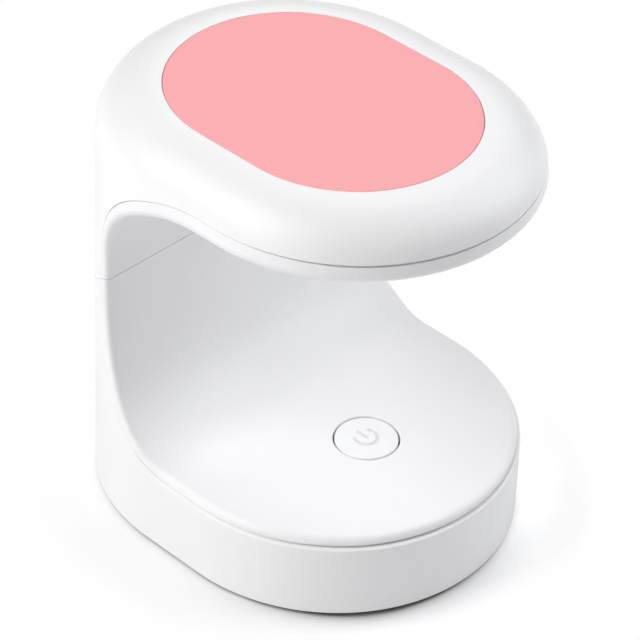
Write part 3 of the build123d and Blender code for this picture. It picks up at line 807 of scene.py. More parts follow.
@dataclass(frozen=True)
class BaseHousing(Housing):
    """Lower housing: a ring wall with a rounded foot, a lip and a ledge for the bottom plate."""

    wall: Wall = BASE_WALL
    parting: Sweep = BASE_PARTING
    thickness: float = 1.6
    lip_width: float = 1.04
    lip_round: tuple[float, float] = (0.12, 0.45)
    lip_drop: Growth = Growth(0.28, 10.0, 36.0)
    change: Change = LATE_CHANGE
    bottom_round: float = 0.5
    ledge_low: float = 2.4
    ledge_high: float = 3.6
    ledge_width: float = 1.3
    screw_hole: float = 2.6
    foot_rows: int = 7
    wall_strips: int = 26
    inner_strips: int = 12

    def skin(self) -> Skin:
        """Closed ring wall, woven from rows that go up outside, over the lip and down inside."""
        lip = self.lip()
        count = lip.shape[1]
        run = np.linspace(0.0, self.wall.outline.half_run, count)
        foot_z = self.wall.foot_z
        turn = np.linspace(-math.pi / 2, 0.0, self.foot_rows)[:, None]
        inset = self.bottom_round * (1 - np.cos(turn))
        z = foot_z + self.bottom_round * (1 + np.sin(turn))
        x, y = self.wall.outline.locate(run, self.wall.foot_radius - inset)
        foot = np.stack([x, y, np.broadcast_to(z, x.shape)], axis=-1)
        low = (run, np.full(count, foot_z + self.bottom_round))
        rise = up_wall(self.wall, low, run_and_climb(self.wall, lip[0]), self.wall_strips)[1:-1]
        rebate_side = self.rebate_row(self.wall.inward(self.lip_width))
        inner = self.wall.inward(self.thickness)
        rebate_end = self.rebate_row(inner)
        ledge_top = (run, np.full(count, self.ledge_high))
        fall = up_wall(inner, run_and_climb(inner, rebate_end), ledge_top, self.inner_strips)
        deep = inner.inward(self.ledge_width)
        ledge = [deep.point(run, np.full(count, h)) for h in (self.ledge_high, self.ledge_low)]
        foot_in = [inner.point(run, np.full(count, h)) for h in (self.ledge_low, foot_z)]
        rows = [foot, rise, lip, rebate_side[None], fall, np.stack(ledge), np.stack(foot_in)]
        return woven(full_rows(np.concatenate(rows)), ring=True, tube=True)

    def build(self) -> bpy.types.Object:
        """Makes the lower housing, with its inlet's mouth cut through the back."""
        piece = make_piece("base_outer_shell_moulding", [self.skin()], "lamp_body", "base_outer_shell")
        PowerInletMouth().cut(piece)
        add_mesh(piece, closed_mesh("column_bosses", self.bosses(self.screw_hole)))
        return piece


@dataclass(frozen=True)
class HeadHousing(Housing):
    """Upper housing: walls, rounded crown and the recess for the coloured panel."""

    wall: CrownedWall = HEAD_WALL
    parting: Sweep = HEAD_PARTING
    thickness: float = 1.8
    top_wall: float = 2.4
    panel_half_straight: float = 6.2
    recess_radius: float = 20.845
    recess_floor: float = 76.5
    recess_round: float = 0.12
    middle_climb: float = 72.6
    screw_hole: float = 2.2
    round_rows: int = 5
    floor_strips: int = 7
    wall_strips: int = 30
    crown_strips: int = 28

    def recess(self, run: Array) -> Array:
        """Half rows of the rim, the recess's rounded edge, its wall and its floor to the middle line."""
        turn = np.linspace(0.0, math.pi / 2, self.round_rows)[:, None]
        radius = self.recess_radius + self.recess_round * (1 - np.sin(turn))
        z = self.wall.top_z - self.recess_round * (1 - np.cos(turn))
        floor = self.recess_radius * np.linspace(1.0, 0.0, self.floor_strips + 1)[:, None]
        radius = np.concatenate([radius, floor])
        z = np.concatenate([z, np.full_like(floor, self.recess_floor)])
        x, y = self.wall.outline.locate(run, radius, self.panel_half_straight)
        return np.stack([x, y, np.broadcast_to(z, x.shape)], axis=-1)

    def skin(self) -> Skin:
        """Closed skin, woven from rows that start in the recess, go down outside and come back inside."""
        lip = self.lip()
        count = lip.shape[1]
        run = np.linspace(0.0, self.wall.outline.half_run, count)
        middle = (run, np.full(count, self.middle_climb))
        top = (run, np.full(count, self.wall.last_climb))
        crown = up_wall(self.wall, middle, top, self.crown_strips)
        rise = up_wall(self.wall, run_and_climb(self.wall, lip[0]), middle, self.wall_strips)[1:-1]
        inner = replace(self.wall.inward(self.thickness), top_z=self.wall.top_z - self.top_wall)
        rebate_side = self.rebate_row(self.wall.inward(self.lip_width))
        rebate_end = self.rebate_row(inner)
        inner_top = (run, np.full(count, inner.last_climb))
        inside = up_wall(inner, run_and_climb(inner, rebate_end), inner_top, self.wall_strips)
        share = np.linspace(1.0, 0.0, self.floor_strips + 1)[1:, None]
        lid_x, lid_y = self.wall.outline.locate(run, inner.flat_radius * share)
        lid = np.stack([lid_x, lid_y, np.full_like(lid_x, inner.top_z)], axis=-1)
        rows = [self.recess(run)[::-1], crown[::-1], rise[::-1], lip, rebate_side[None], inside, lid]
        return woven(full_rows(np.concatenate(rows)), ring=True)

    def build(self) -> bpy.types.Object:
        """Makes the upper housing."""
        skins = [self.skin()] + self.bosses(self.screw_hole)
        return make_piece("head_outer_shell_moulding", skins, "lamp_body", "head_outer_shell")


@dataclass(frozen=True)
class PowerInletMouth:
    """Flat oval opening for the power inlet in the back of the lower housing."""

    centre_z: float = 7.83
    half_straight: float = 2.84
    radius: float = 1.98
    reach: float = 4.0
    back_x: float = -37.96
    corners: int = 64

    def cut(self, piece: bpy.types.Object) -> None:
        """Cuts the opening with a prism of its outline: two half circles of one radius, joined by straight sides."""
        angle = np.linspace(0.0, 2 * math.pi, self.corners, endpoint=False)
        y = np.sign(np.cos(angle) + 1e-9) * self.half_straight + self.radius * np.cos(angle)
        z = self.centre_z + self.radius * np.sin(angle)
        ends = (self.back_x - self.reach, self.back_x + self.reach)
        prism = woven(np.stack([np.stack([np.full_like(y, x), y, z], axis=-1) for x in ends]), ring=True)
        mesh = bpy.data.meshes.new("inlet_cutter")
        caps = np.arange(2 * self.corners).reshape(2, self.corners)
        mesh.from_pydata((prism.points * MM).tolist(), [], prism.faces.tolist() + caps.tolist())
        work = bmesh.new()
        work.from_mesh(mesh)
        bmesh.ops.recalc_face_normals(work, faces=work.faces)
        work.to_mesh(mesh)
        work.free()
        cutter = add_object("inlet_cutter", mesh)
        modifier = piece.modifiers.new("inlet", "BOOLEAN")
        modifier.operation = "DIFFERENCE"
        modifier.solver = "EXACT"
        modifier.object = cutter
        depsgraph = bpy.context.evaluated_depsgraph_get()
        result = bpy.data.meshes.new_from_object(piece.evaluated_get(depsgraph))
        piece.modifiers.remove(modifier)
        bpy.data.objects.remove(cutter)
        piece.data = result
        result.set_sharp_from_angle(angle=math.radians(SHARP_ANGLE))


# ---------------------------------------------------------------------------
# Inner covers
# ---------------------------------------------------------------------------


@dataclass(frozen=True)
class PlanLoop:
    """Stadium in plan round a hole: centre, half straight side along X, end radius."""

    centre_x: float
    half_straight: float
    radius: float

    def half(self, count: int, wider: float = 0.0) -> tuple[Array, Array]:
        """Points of its +Y half from back to front, evenly by length."""
        outline = Outline(max(self.half_straight, 1e-6), self.centre_x, self.radius + wider)
        return outline.locate(np.linspace(0.0, 1.0, count) * outline.half_run, np.array(self.radius + wider))


@dataclass(frozen=True)
class Rim:
    """Cross-section of a cover's edge: its rounding, and how far its side stays in from the wall."""

    rounding: float
    inset: float


@dataclass(frozen=True)
class Cover:
    """Thin moulding that lines half of the open C, with a rounded rim, a tongue behind the shell's lip and one hole.

    The rim has one cross-section on the column and another on the level face,
    and changes smoothly from one to the other along the sweep. Of each pair of
    bosses, the one on the +Y side is given.
    """

    node: str
    face: Sweep
    parting: Sweep
    wall: Wall
    on_column: Rim
    on_level: Rim
    hole: PlanLoop
    inner_loop: PlanLoop
    bosses: tuple[Boss, ...]
    inset: float = 0.8
    skirt: float = 1.3
    thickness: float = 1.6
    tongue: float = 0.85
    chamfer: float = 0.03
    reveal: float = 0.02
    opening: Growth = Growth(0.42, 14.0, 38.0)
    seam_gap: float = 0.1
    change: Change = Change()
    hole_round: float = 0.25
    lead: float = 16.0
    stations: Stations = field(default_factory=lambda: Stations(column=8, side=16))
    rim_strips: int = 9
    side_strips: int = 3
    skirt_strips: int = 2
    face_strips: int = 26
    inner_strips: int = 12
    hole_rings: int = 6

    @property
    def lift(self) -> float:
        """How far the visible face stays back from the seam's plane."""
        return self.face.half.value * self.seam_gap / 2

    def edge(self, wall: Wall, sweep: Sweep, lift: float) -> Edge:
        """One side of the edge where a wall meets a half C, from the seam to the front."""
        return edge_curve(wall, sweep, SEAM, lift, self.stations, False)

    def changing(self, inset: tuple[float, float], depth: tuple[float, float], sweep: Sweep) -> tuple[Edge, Array]:
        """Edge that passes from its column values to its level ones, and its shares."""
        return self.change.edge(self.wall, sweep, self.lift, self.stations, False, inset, depth)

    def rim_rows(self) -> Array:
        """Rows from the face, round the rim, down its side and in over the lip to the tongue."""
        first, last = self.on_column, self.on_level
        rounding = (first.rounding, last.rounding)
        ball, share = self.changing((first.inset + rounding[0], last.inset + rounding[1]), rounding, self.face)
        radius = rounding[0] * (1 - share) + rounding[1] * share
        outward = self.wall.normal(*ball.points.T)
        rows = rolled(ball.points, ball.facing, outward, radius, self.rim_strips)
        insets = [(first.inset + more, last.inset + more) for more in (0.0, self.chamfer)] + [(self.inset, self.inset)]
        depths = [-self.reveal - self.chamfer, -self.reveal, -self.reveal]
        low = [self.changing(inset, (depth, depth), self.parting)[0].points for inset, depth in zip(insets, depths)]
        low = self.opening.lifted(np.stack(low), -self.face.half.value)
        return np.concatenate([rows, between(rows[-1], low[0], self.side_strips), low])

    def split(self, rim: Array) -> int:
        """Station from which the rim's rows run to the hole instead of to the middle line."""
        travel = self.face.travel(rim[:, 0], rim[:, 2])
        back = self.face.travel_at_depth(np.array(self.hole.centre_x - self.hole.half_straight - self.hole.radius))
        return int(np.searchsorted(travel[: -self.stations.front // 2], back - self.lead))

    def rows_to_hole(self, rim: Array, sweep: Sweep, loop: PlanLoop, wider: float, split: int, strips: int) -> Array:
        """Half rows over a half C, from its rim to the middle line and the hole.

        Rows are straight lines in the unrolled face, where a point is its
        travel and its y: (1-v) rim + v target. Targets lie on the middle line
        up to the hole's back, then on the hole's loop.

        Args:
            rim: Points of the rim on the half C.
            sweep: The half C.
            loop: The hole's loop in plan.
            wider: How much wider the loop is taken.
            split: First station whose target is on the loop.
            strips: Strips from rim to target.

        Returns:
            The rows, rim first.
        """
        travel, across = sweep.travel(rim[:, 0], rim[:, 2]), rim[:, 1]
        loop_x, loop_y = loop.half(len(rim) - split, wider)
        loop_travel = sweep.travel_at_depth(loop_x)
        lead_in = travel[:split] - travel[0]
        middle = travel[0] + lead_in / (travel[split] - travel[0]) * (loop_travel[0] - travel[0])
        target_travel = np.concatenate([middle, loop_travel])
        target_across = np.concatenate([np.zeros(split), loop_y])
        v = np.linspace(0.0, 1.0, strips + 1)[:, None]
        x, z = sweep.place(travel * (1 - v) + target_travel * v)
        return np.stack([x, across * (1 - v) + target_across * v, z], axis=-1)

    def hole_rows(self, count: int) -> list[Array]:
        """Half rows from the hole's visible edge to the inner face, of so many points. Each cover has its own."""
        raise NotImplementedError

    def skins(self) -> list[Skin]:
        """Face, rim, side and inside as open grids that share their edges, and the hole as a ring."""
        wall = self.wall.inward(self.inset)
        rim_rows = self.rim_rows()
        split = self.split(rim_rows[0])
        face_rows = self.rows_to_hole(rim_rows[0], self.face, self.hole, self.hole_round, split, self.face_strips)
        tongue = self.parting.grown(self.tongue)
        side_end = self.edge(wall, tongue, 0.0).points
        inner_wall = wall.inward(self.skirt)
        skirt_end = self.edge(inner_wall, tongue, 0.0).points
        inner_sweep = self.face.grown(self.thickness)
        inner_rim = self.edge(inner_wall, inner_sweep, 0.0).points
        inner_rows = self.rows_to_hole(inner_rim, inner_sweep, self.inner_loop, 0.0, split, self.inner_strips)
        outside = np.concatenate(
            [face_rows[::-1], rim_rows[1:], side_end[None], between(side_end, skirt_end, self.skirt_strips),
             skirt_end[None], between(skirt_end, inner_rim, self.side_strips), inner_rows]
        )
        first, last = face_rows[-1, split:], inner_rows[-1, split:]
        collar = np.stack([first] + self.hole_rows(len(first)) + [last])
        log.info("%s: %d stations to the hole", self.node, len(first))
        return [woven(open_rows(outside), ring=False), woven(full_rows(collar), ring=True)]

    def round_edge(self, count: int) -> list[Array]:
        """Hole's rounded edge: radius plus round times (1 - sine), level moved back by round times (1 - cosine)."""
        rows = []
        for turn in np.linspace(0.0, math.pi / 2, self.hole_rings)[1:]:
            x, y = self.hole.half(count, self.hole_round * (1 - math.sin(turn)))
            z = self.face.place(self.face.travel_at_depth(x))[1]
            back = self.face.half.value * self.hole_round * (1 - math.cos(turn))
            rows.append(np.stack([x, y, z + back], axis=-1))
        return rows

    def level_row(self, loop: PlanLoop, count: int, z: float) -> Array:
        """Half row round a loop at one height."""
        x, y = loop.half(count)
        return np.stack([x, y, np.full_like(x, z)], axis=-1)

    def build(self) -> bpy.types.Object:
        """Makes the cover with its bosses."""
        bosses = [sleeve(boss._replace(y=way * boss.y)) for way in (-1, 1) for boss in self.bosses]
        return make_piece(f"{self.node}_moulding", self.skins() + bosses, "lamp_body", self.node)


@dataclass(frozen=True)
class FloorCover(Cover):
    """Floor of the hand space and lower face of the column, with the button's collar and eight bosses."""

    node: str = "base_inner_cover"
    face: Sweep = FLOOR_SWEEP
    parting: Sweep = BASE_PARTING
    wall: Wall = BASE_WALL
    on_column: Rim = Rim(0.9, 0.05)
    on_level: Rim = Rim(1.25, 0.65)
    inset: float = 1.1
    skirt: float = 1.55
    change: Change = LATE_CHANGE
    hole: PlanLoop = PlanLoop(13.8, 0.0, 5.66)
    inner_loop: PlanLoop = PlanLoop(13.8, 0.0, 7.22)
    hole_round: float = 0.18
    collar_middle_z: float = 14.0
    collar_z: float = 12.7
    bosses: tuple[Boss, ...] = (
        Boss(20.0, 17.0, 3.6, 14.6, 2.5, 1.1),
        Boss(-12.0, 20.0, 3.6, 18.4, 2.5, 1.1),
        Boss(20.0, 10.6, 6.2, 14.6, 2.0, 1.1),
        Boss(-12.0, 10.6, 6.2, 18.4, 2.0, 1.1),
    )

    def hole_rows(self, count: int) -> list[Array]:
        """Rounded edge, collar's inside and its lower edge."""
        inside = [self.level_row(self.hole, count, z) for z in (self.collar_middle_z, self.collar_z)]
        return self.round_edge(count) + inside + [self.level_row(self.inner_loop, count, self.collar_z)]


@dataclass(frozen=True)
class CeilingCover(Cover):
    """Ceiling of the hand space and upper face of the column, with the lamp window's seat and four posts."""

    node: str = "head_inner_cover"
    face: Sweep = CEILING_SWEEP
    parting: Sweep = HEAD_PARTING
    wall: Wall = HEAD_WALL
    on_column: Rim = Rim(0.9, 0.05)
    on_level: Rim = Rim(1.9, 0.1)
    reveal: float = 0.09
    opening: Growth = Growth(0.3, 8.0, 32.0)
    hole: PlanLoop = PlanLoop(11.5, 3.0, 12.5)
    inner_loop: PlanLoop = PlanLoop(11.5, 3.0, 15.15)
    seat_loop: PlanLoop = PlanLoop(11.5, 3.0, 13.85)
    window_z: float = 68.3
    seat_top_z: float = 69.5
    bosses: tuple[Boss, ...] = (
        Boss(1.3, 14.5, 68.6, 72.0, 2.1, 1.1),
        Boss(21.7, 14.5, 68.6, 72.0, 2.1, 1.1),
    )

    def hole_rows(self, count: int) -> list[Array]:
        """Rounded edge, the short wall, the window's shelf, the seat's wall and its top."""
        wall = [self.level_row(self.hole, count, self.window_z)]
        seat = [self.level_row(self.seat_loop, count, z) for z in (self.window_z, self.seat_top_z)]
        return self.round_edge(count) + wall + seat + [self.level_row(self.inner_loop, count, self.seat_top_z)]


# ---------------------------------------------------------------------------
# Panel and button
# ---------------------------------------------------------------------------


@dataclass(frozen=True)
class TopPanel:
    """Coloured panel that fills the crown's recess: a flat stadium with a rounded upper edge."""

    outline: Outline = Outline(6.2, 0.73, 20.745)
    low_z: float = 76.5
    top_z: float = 77.5
    edge_round: float = 0.2
    stations: int = 150
    flat_rows: int = 12
    edge_rows: int = 7

    def skin(self) -> Skin:
        """Rows from the top's middle line outwards, round the edge, down and back to the middle line below."""
        run = np.linspace(0.0, self.outline.half_run, self.stations)
        turn = np.linspace(0.0, math.pi / 2, self.edge_rows)
        radius = self.outline.nominal_radius
        flat = np.linspace(0.0, radius - self.edge_round, self.flat_rows)
        over = radius - self.edge_round * (1 - np.sin(turn))
        over_z = self.top_z - self.edge_round * (1 - np.cos(turn))
        radii = np.concatenate([flat, over[1:], [radius], flat[::-1]])[:, None]
        low = np.full(1 + self.flat_rows, self.low_z)
        heights = np.concatenate([np.full(self.flat_rows, self.top_z), over_z[1:], low])
        x, y = self.outline.locate(run, radii)
        rows = np.stack([x, y, np.broadcast_to(heights[:, None], x.shape)], axis=-1)
        return woven(full_rows(rows), ring=True)

    def build(self) -> bpy.types.Object:
        """Makes the panel."""
        return make_piece("top_inlay_panel_moulding", [self.skin()], "lamp_body", "top_inlay_panel")


@dataclass(frozen=True)
class PushButton:
    """Crowned cap with a sunk generic power mark, a flange and a stem."""

    x: float = 13.8
    floor_z: float = 16.0
    radius: float = 5.36
    crown: float = 0.2
    edge_round: float = 0.3
    skirt_z: float = 11.8
    flange_radius: float = 6.52
    flange_height: float = 0.8
    stem_radius: float = 2.0
    stem_z: float = 11.25
    mark_radius: float = 1.9
    mark_line: float = 0.62
    mark_depth: float = 0.2
    mark_gap: float = 112.0
    mark_bar: float = 1.9
    mark_fade: float = 0.06
    mark_reach: float = 3.4
    mark_rings: int = 62
    outer_rings: int = 13
    edge_rings: int = 7
    around: int = 288
    flange_round: float = 0.15
    stem_round: float = 0.1
    sharp_angle: float = 50.0

    def mark(self, x: Array, y: Array) -> Array:
        """How deep the mark is sunk, from 0 to 1.

        The distance to the open ring is the distance from its circle, or from
        its nearer end inside the gap; the distance to the bar is that to a
        segment from the middle. The mark is eased out round half a line.

        Args:
            x: Places from the cap's axis.
            y: Places from the cap's axis.

        Returns:
            The share of the full depth.
        """
        half_gap = math.radians(self.mark_gap / 2)
        angle = np.abs(np.arctan2(y, -x))
        on_ring = np.abs(np.hypot(x, y) - self.mark_radius)
        end = np.hypot(-x - self.mark_radius * math.cos(half_gap), np.abs(y) - self.mark_radius * math.sin(half_gap))
        ring = np.where(angle > half_gap, on_ring, end)
        bar = np.hypot(x - np.clip(x, -self.mark_bar, 0.0), y)
        half_line = self.mark_line / 2
        return 1 - eased(np.minimum(ring, bar), half_line - self.mark_fade, half_line + self.mark_fade)

    def skin(self) -> Skin:
        """Rings from the crown's middle outwards: floor plus crown times (1 - (r/R) squared), less the mark."""
        angle = np.linspace(0.0, 2 * math.pi, self.around, endpoint=False)
        flat = self.radius - self.edge_round
        fine = np.linspace(0.05, self.mark_reach, self.mark_rings)
        coarse = np.linspace(self.mark_reach, flat, self.outer_rings + 1)[1:]
        inner = np.concatenate([[0.0], fine, coarse])[:, None]
        x, y = inner * np.cos(angle), inner * np.sin(angle)
        dome = self.floor_z + self.crown * (1 - (inner / self.radius) ** 2)
        top = np.stack([x + self.x, y, dome - self.mark_depth * self.mark(x, y)], axis=-1)
        edge_z = self.floor_z + self.crown * (1 - (flat / self.radius) ** 2)
        turn = np.linspace(0.0, math.pi / 2, self.edge_rings + 1)[1:]
        over = [(flat + self.edge_round * math.sin(t), edge_z - self.edge_round * (1 - math.cos(t))) for t in turn]
        flange_z = self.skirt_z + self.flange_height
        under = [
            (self.radius, flange_z), (self.flange_radius - self.flange_round, flange_z),
            (self.flange_radius, flange_z - self.flange_round), (self.flange_radius, self.skirt_z),
            (self.stem_radius, self.skirt_z), (self.stem_radius, self.stem_z + self.stem_round),
            (self.stem_radius - self.stem_round, self.stem_z), (0.0, self.stem_z),
        ]
        side = lathe(over + under, self.x, 0.0, self.around).points.reshape(-1, self.around, 3)
        return woven(np.concatenate([top, side]), ring=True)

    def build(self) -> bpy.types.Object:
        """Makes the cap."""
        skins = [self.skin()]
        return make_piece("button_cap_moulding", skins, "button", "button_cap", self.sharp_angle)


# ---------------------------------------------------------------------------
# Finishes
# ---------------------------------------------------------------------------


class Noise(Enum):
    """Patterns that a shader graph can ask for."""

    SOFT = "ShaderNodeTexNoise"
    CELLS = "ShaderNodeTexVoronoi"


Tint = tuple[float, float, float, float]
WHITE: Tint = (1.0, 1.0, 1.0, 1.0)


class Graph:
    """Short way to write a shader node tree."""

    def __init__(self, tree: bpy.types.NodeTree) -> None:
        """Keeps the tree and empties it."""
        self.tree = tree
        self.tree.nodes.clear()

    def put(self, place: Socket, value: object) -> None:
        """Links a socket to an input, or sets the input to a value."""
        if isinstance(value, Socket):
            self.tree.links.new(value, place)
        else:
            place.default_value = value

    def add(self, kind: str, settings: Optional[dict] = None, **sockets: object) -> bpy.types.Node:
        """Adds a node.

        Args:
            kind: The node's type.
            settings: Attributes of the node itself.
            sockets: Values or sockets for its inputs, with _ for a blank, or n and a number for its place.

        Returns:
            The node.
        """
        node = self.tree.nodes.new(kind)
        for key, value in (settings or {}).items():
            setattr(node, key, value)
        for key, value in sockets.items():
            numbered = key[0] == "n" and key[1:].isdigit()
            self.put(node.inputs[int(key[1:]) if numbered else key.replace("_", " ")], value)
        return node

    def where(self) -> Socket:
        """Adds the place in the object, in metres."""
        return self.add("ShaderNodeTexCoord").outputs["Object"]

    def parts(self, vector: object) -> Sequence[Socket]:
        """Adds the three parts of a vector."""
        return self.add("ShaderNodeSeparateXYZ", None, Vector=vector).outputs

    def math(self, operation: str, first: object, second: object = 0.0, third: object = 0.0) -> Socket:
        """Adds a Math node and gives its result."""
        return self.add("ShaderNodeMath", {"operation": operation}, n0=first, n1=second, n2=third).outputs[0]

    def pattern(self, noise: Noise, vector: object, scale: object, detail: float = 2.0) -> Socket:
        """Adds a pattern and gives its value: soft noise from 0 to 1, or the distance to the nearest cell's point."""
        if noise is Noise.SOFT:
            return self.add(noise.value, None, Vector=vector, Scale=scale, Detail=detail).outputs[0]
        return self.add(noise.value, None, Vector=vector, Scale=scale).outputs["Distance"]

    def spread(self, value: object, low: float, high: float) -> Socket:
        """Brings a value from between low and high to between 0 and 1, and stops it there."""
        return self.add("ShaderNodeMapRange", {"clamp": True}, Value=value, From_Min=low, From_Max=high).outputs[0]

    def blend(self, share: object, first: object, second: object) -> Socket:
        """Mixes two colours, which are a Mix node's inputs 6 and 7."""
        return self.add("ShaderNodeMix", {"data_type": "RGBA"}, n0=share, n6=first, n7=second).outputs[2]


def new_material(name: str) -> tuple[bpy.types.Material, Graph]:
    """Makes a material with an empty graph."""
    material = bpy.data.materials.new(name)
    material.use_nodes = True
    return material, Graph(material.node_tree)


class Effect(Enum):
    """Effects that several finishes share. Each is one node group."""

    TONE = "surface_tone"
    GRAIN = "moulded_grain"
    HANDLING = "handling_marks"
    BRUSHED = "brushed_lines"
    TRACKS = "board_tracks"
    POWER_MARK = "power_mark"


class EffectLibrary:
    """Builds each shared effect once and places it in any graph."""

    SMUDGE_SCALE = 95.0
    HAIRLINE_TURNS = (0.45, -0.8)
    HAIRLINE_SCALE = (60.0, 4200.0, 900.0)

    def __init__(self) -> None:
        """Starts with no effect built."""
        self.built: dict[Effect, bpy.types.NodeTree] = {}
        self.makers = {
            Effect.TONE: self.tone,
            Effect.GRAIN: self.grain,
            Effect.HANDLING: self.handling,
            Effect.BRUSHED: self.brushed,
            Effect.TRACKS: self.tracks,
            Effect.POWER_MARK: self.power_mark,
        }

    def start(self, effect: Effect, inputs: Sequence[str], outputs: Sequence[str]) -> tuple[Graph, Sequence[Socket]]:
        """Makes an empty group. An input or output called Color is a colour, every other one a value.

        Args:
            effect: The effect.
            inputs: Name of each input.
            outputs: Name of each output.

        Returns:
            The group's graph, and the sockets that give its inputs.
        """
        tree = bpy.data.node_groups.new(effect.value, "ShaderNodeTree")
        graph = Graph(tree)
        for way, names in (("INPUT", inputs), ("OUTPUT", outputs)):
            for name in names:
                kind = "NodeSocketColor" if name == "Color" else "NodeSocketFloat"
                tree.interface.new_socket(name=name, in_out=way, socket_type=kind)
        self.built[effect] = tree
        return graph, graph.add("NodeGroupInput").outputs

    def place(self, graph: Graph, effect: Effect, **sockets: object) -> Sequence[Socket]:
        """Places an effect in a graph and gives its outputs. Builds it first if nothing has used it yet."""
        if effect not in self.built:
            self.makers[effect]()
        return graph.add("ShaderNodeGroup", {"node_tree": self.built[effect]}, **sockets).outputs

    def tone(self) -> None:
        """Slow colour drift of a moulding: two sizes of soft noise darken the colour by up to the amount."""
        graph, given = self.start(Effect.TONE, ("Color", "Amount", "Scale"), ("Color", "Drift"))
        where = graph.where()
        slow = graph.pattern(Noise.SOFT, where, given["Scale"], 1.0)
        quick = graph.pattern(Noise.SOFT, where, graph.math("MULTIPLY", given["Scale"], 6.3), 3.0)
        drift = graph.spread(graph.math("MULTIPLY_ADD", quick, 0.35, slow), 0.4, 0.95)
        keep = graph.math("SUBTRACT", 1.0, graph.math("MULTIPLY", drift, given["Amount"]))
        tinted = graph.add("ShaderNodeVectorMath", {"operation": "SCALE"}, n0=given["Color"], Scale=keep)
        graph.add("NodeGroupOutput", None, Color=tinted.outputs[0], Drift=drift)

    def grain(self) -> None:
        """Moulded grain as a height: fine pits between cells, softened, plus the slow swell of a large face."""
        graph, given = self.start(Effect.GRAIN, ("Scale", "Pits", "Swell"), ("Height", "Pit Mask"))
        where = graph.where()
        cells = graph.spread(graph.pattern(Noise.CELLS, where, given["Scale"]), 0.1, 0.65)
        soft = graph.pattern(Noise.SOFT, where, graph.math("MULTIPLY", given["Scale"], 0.6), 3.0)
        swell = graph.pattern(Noise.SOFT, where, graph.math("MULTIPLY", given["Scale"], 0.045), 1.0)
        fine = graph.math("MULTIPLY", graph.math("MULTIPLY_ADD", soft, 0.6, cells), given["Pits"])
        height = graph.math("MULTIPLY_ADD", swell, given["Swell"], fine)
        graph.add("NodeGroupOutput", None, Height=height, Pit_Mask=cells)

    def handling(self) -> None:
        """Roughness of a handled surface: base, plus faint smudges, plus hairline wiping marks at two angles."""
        graph, given = self.start(Effect.HANDLING, ("Base", "Smudges", "Hairlines"), ("Roughness",))
        where = graph.where()
        smudge = graph.math("SUBTRACT", graph.pattern(Noise.SOFT, where, self.SMUDGE_SCALE, 4.0), 0.5)
        total = graph.math("MULTIPLY_ADD", smudge, given["Smudges"], given["Base"])
        for turn in self.HAIRLINE_TURNS:
            turned = graph.add(
                "ShaderNodeMapping", None, Vector=where, Rotation=(0.3 * turn, 0.5, turn), Scale=self.HAIRLINE_SCALE
            )
            line = graph.spread(graph.pattern(Noise.SOFT, turned.outputs[0], 1.0, 2.0), 0.62, 0.78)
            total = graph.math("MULTIPLY_ADD", line, given["Hairlines"], total)
        graph.add("NodeGroupOutput", None, Roughness=graph.math("MINIMUM", graph.math("MAXIMUM", total, 0.02), 1.0))

    def brushed(self) -> None:
        """Drawn metal: noise stretched along one way gives lines, as a height and as a mask."""
        graph, given = self.start(Effect.BRUSHED, ("Scale", "Stretch"), ("Height", "Lines"))
        parts = graph.parts(graph.where())
        across = graph.math("DIVIDE", parts[0], given["Stretch"])
        narrow = graph.add("ShaderNodeCombineXYZ", None, X=across, Y=parts[1], Z=parts[2])
        lines = graph.pattern(Noise.SOFT, narrow.outputs[0], given["Scale"], 4.0)
        graph.add("NodeGroupOutput", None, Height=lines, Lines=graph.spread(lines, 0.35, 0.65))

    def tracks(self) -> None:
        """Copper tracks under a board's lacquer: thin bands where cells meet, and square pads at cell points."""
        graph, given = self.start(Effect.TRACKS, ("Scale", "Width"), ("Tracks", "Pads"))
        flat = graph.add("ShaderNodeMapping", None, Vector=graph.where(), Scale=(1.0, 1.0, 0.0)).outputs[0]
        edge = graph.add(
            "ShaderNodeTexVoronoi", {"feature": "DISTANCE_TO_EDGE"},
            Vector=flat, Scale=given["Scale"], Randomness=0.55,
        )
        track = graph.math("LESS_THAN", edge.outputs["Distance"], given["Width"])
        cell = graph.add(
            "ShaderNodeTexVoronoi", {"distance": "CHEBYCHEV"},
            Vector=flat, Scale=graph.math("MULTIPLY", given["Scale"], 1.7), Randomness=0.3,
        )
        pad = graph.math("LESS_THAN", cell.outputs["Distance"], 0.2)
        graph.add("NodeGroupOutput", None, Tracks=track, Pads=pad)

    def power_mark(self) -> None:
        """Mask of an open ring with a bar, seen from above round a middle.

        A point's distance to the ring is that to its circle, and the ring is
        left out where -x over the distance from the middle passes the cosine
        of half the gap. Its distance to the bar is that to a segment which
        starts in the middle and runs to -x. The mask is one inside half a
        line and fades over a fifth of a line.
        """
        names = ("Middle", "Radius", "Line", "Bar", "Gap Cosine")
        graph, given = self.start(Effect.POWER_MARK, names, ("Mask",))
        parts = graph.parts(graph.where())
        x = graph.math("SUBTRACT", parts[0], given["Middle"])
        y_squared = graph.math("MULTIPLY", parts[1], parts[1])
        span = graph.math("SQRT", graph.math("MULTIPLY_ADD", x, x, y_squared))
        ring = graph.math("ABSOLUTE", graph.math("SUBTRACT", span, given["Radius"]))
        cosine = graph.math("DIVIDE", graph.math("MULTIPLY", x, -1.0), graph.math("MAXIMUM", span, 1e-6))
        ring = graph.math("ADD", ring, graph.math("GREATER_THAN", cosine, given["Gap Cosine"]))
        far_end = graph.math("MULTIPLY", given["Bar"], -1.0)
        nearest = graph.math("MINIMUM", graph.math("MAXIMUM", x, far_end), 0.0)
        beside = graph.math("SUBTRACT", x, nearest)
        bar = graph.math("SQRT", graph.math("MULTIPLY_ADD", beside, beside, y_squared))
        distance = graph.math("DIVIDE", graph.math("MINIMUM", ring, bar), given["Line"])
        faded = graph.spread(distance, 0.4, 0.6)
        graph.add("NodeGroupOutput", None, Mask=graph.math("SUBTRACT", 1.0, faded))


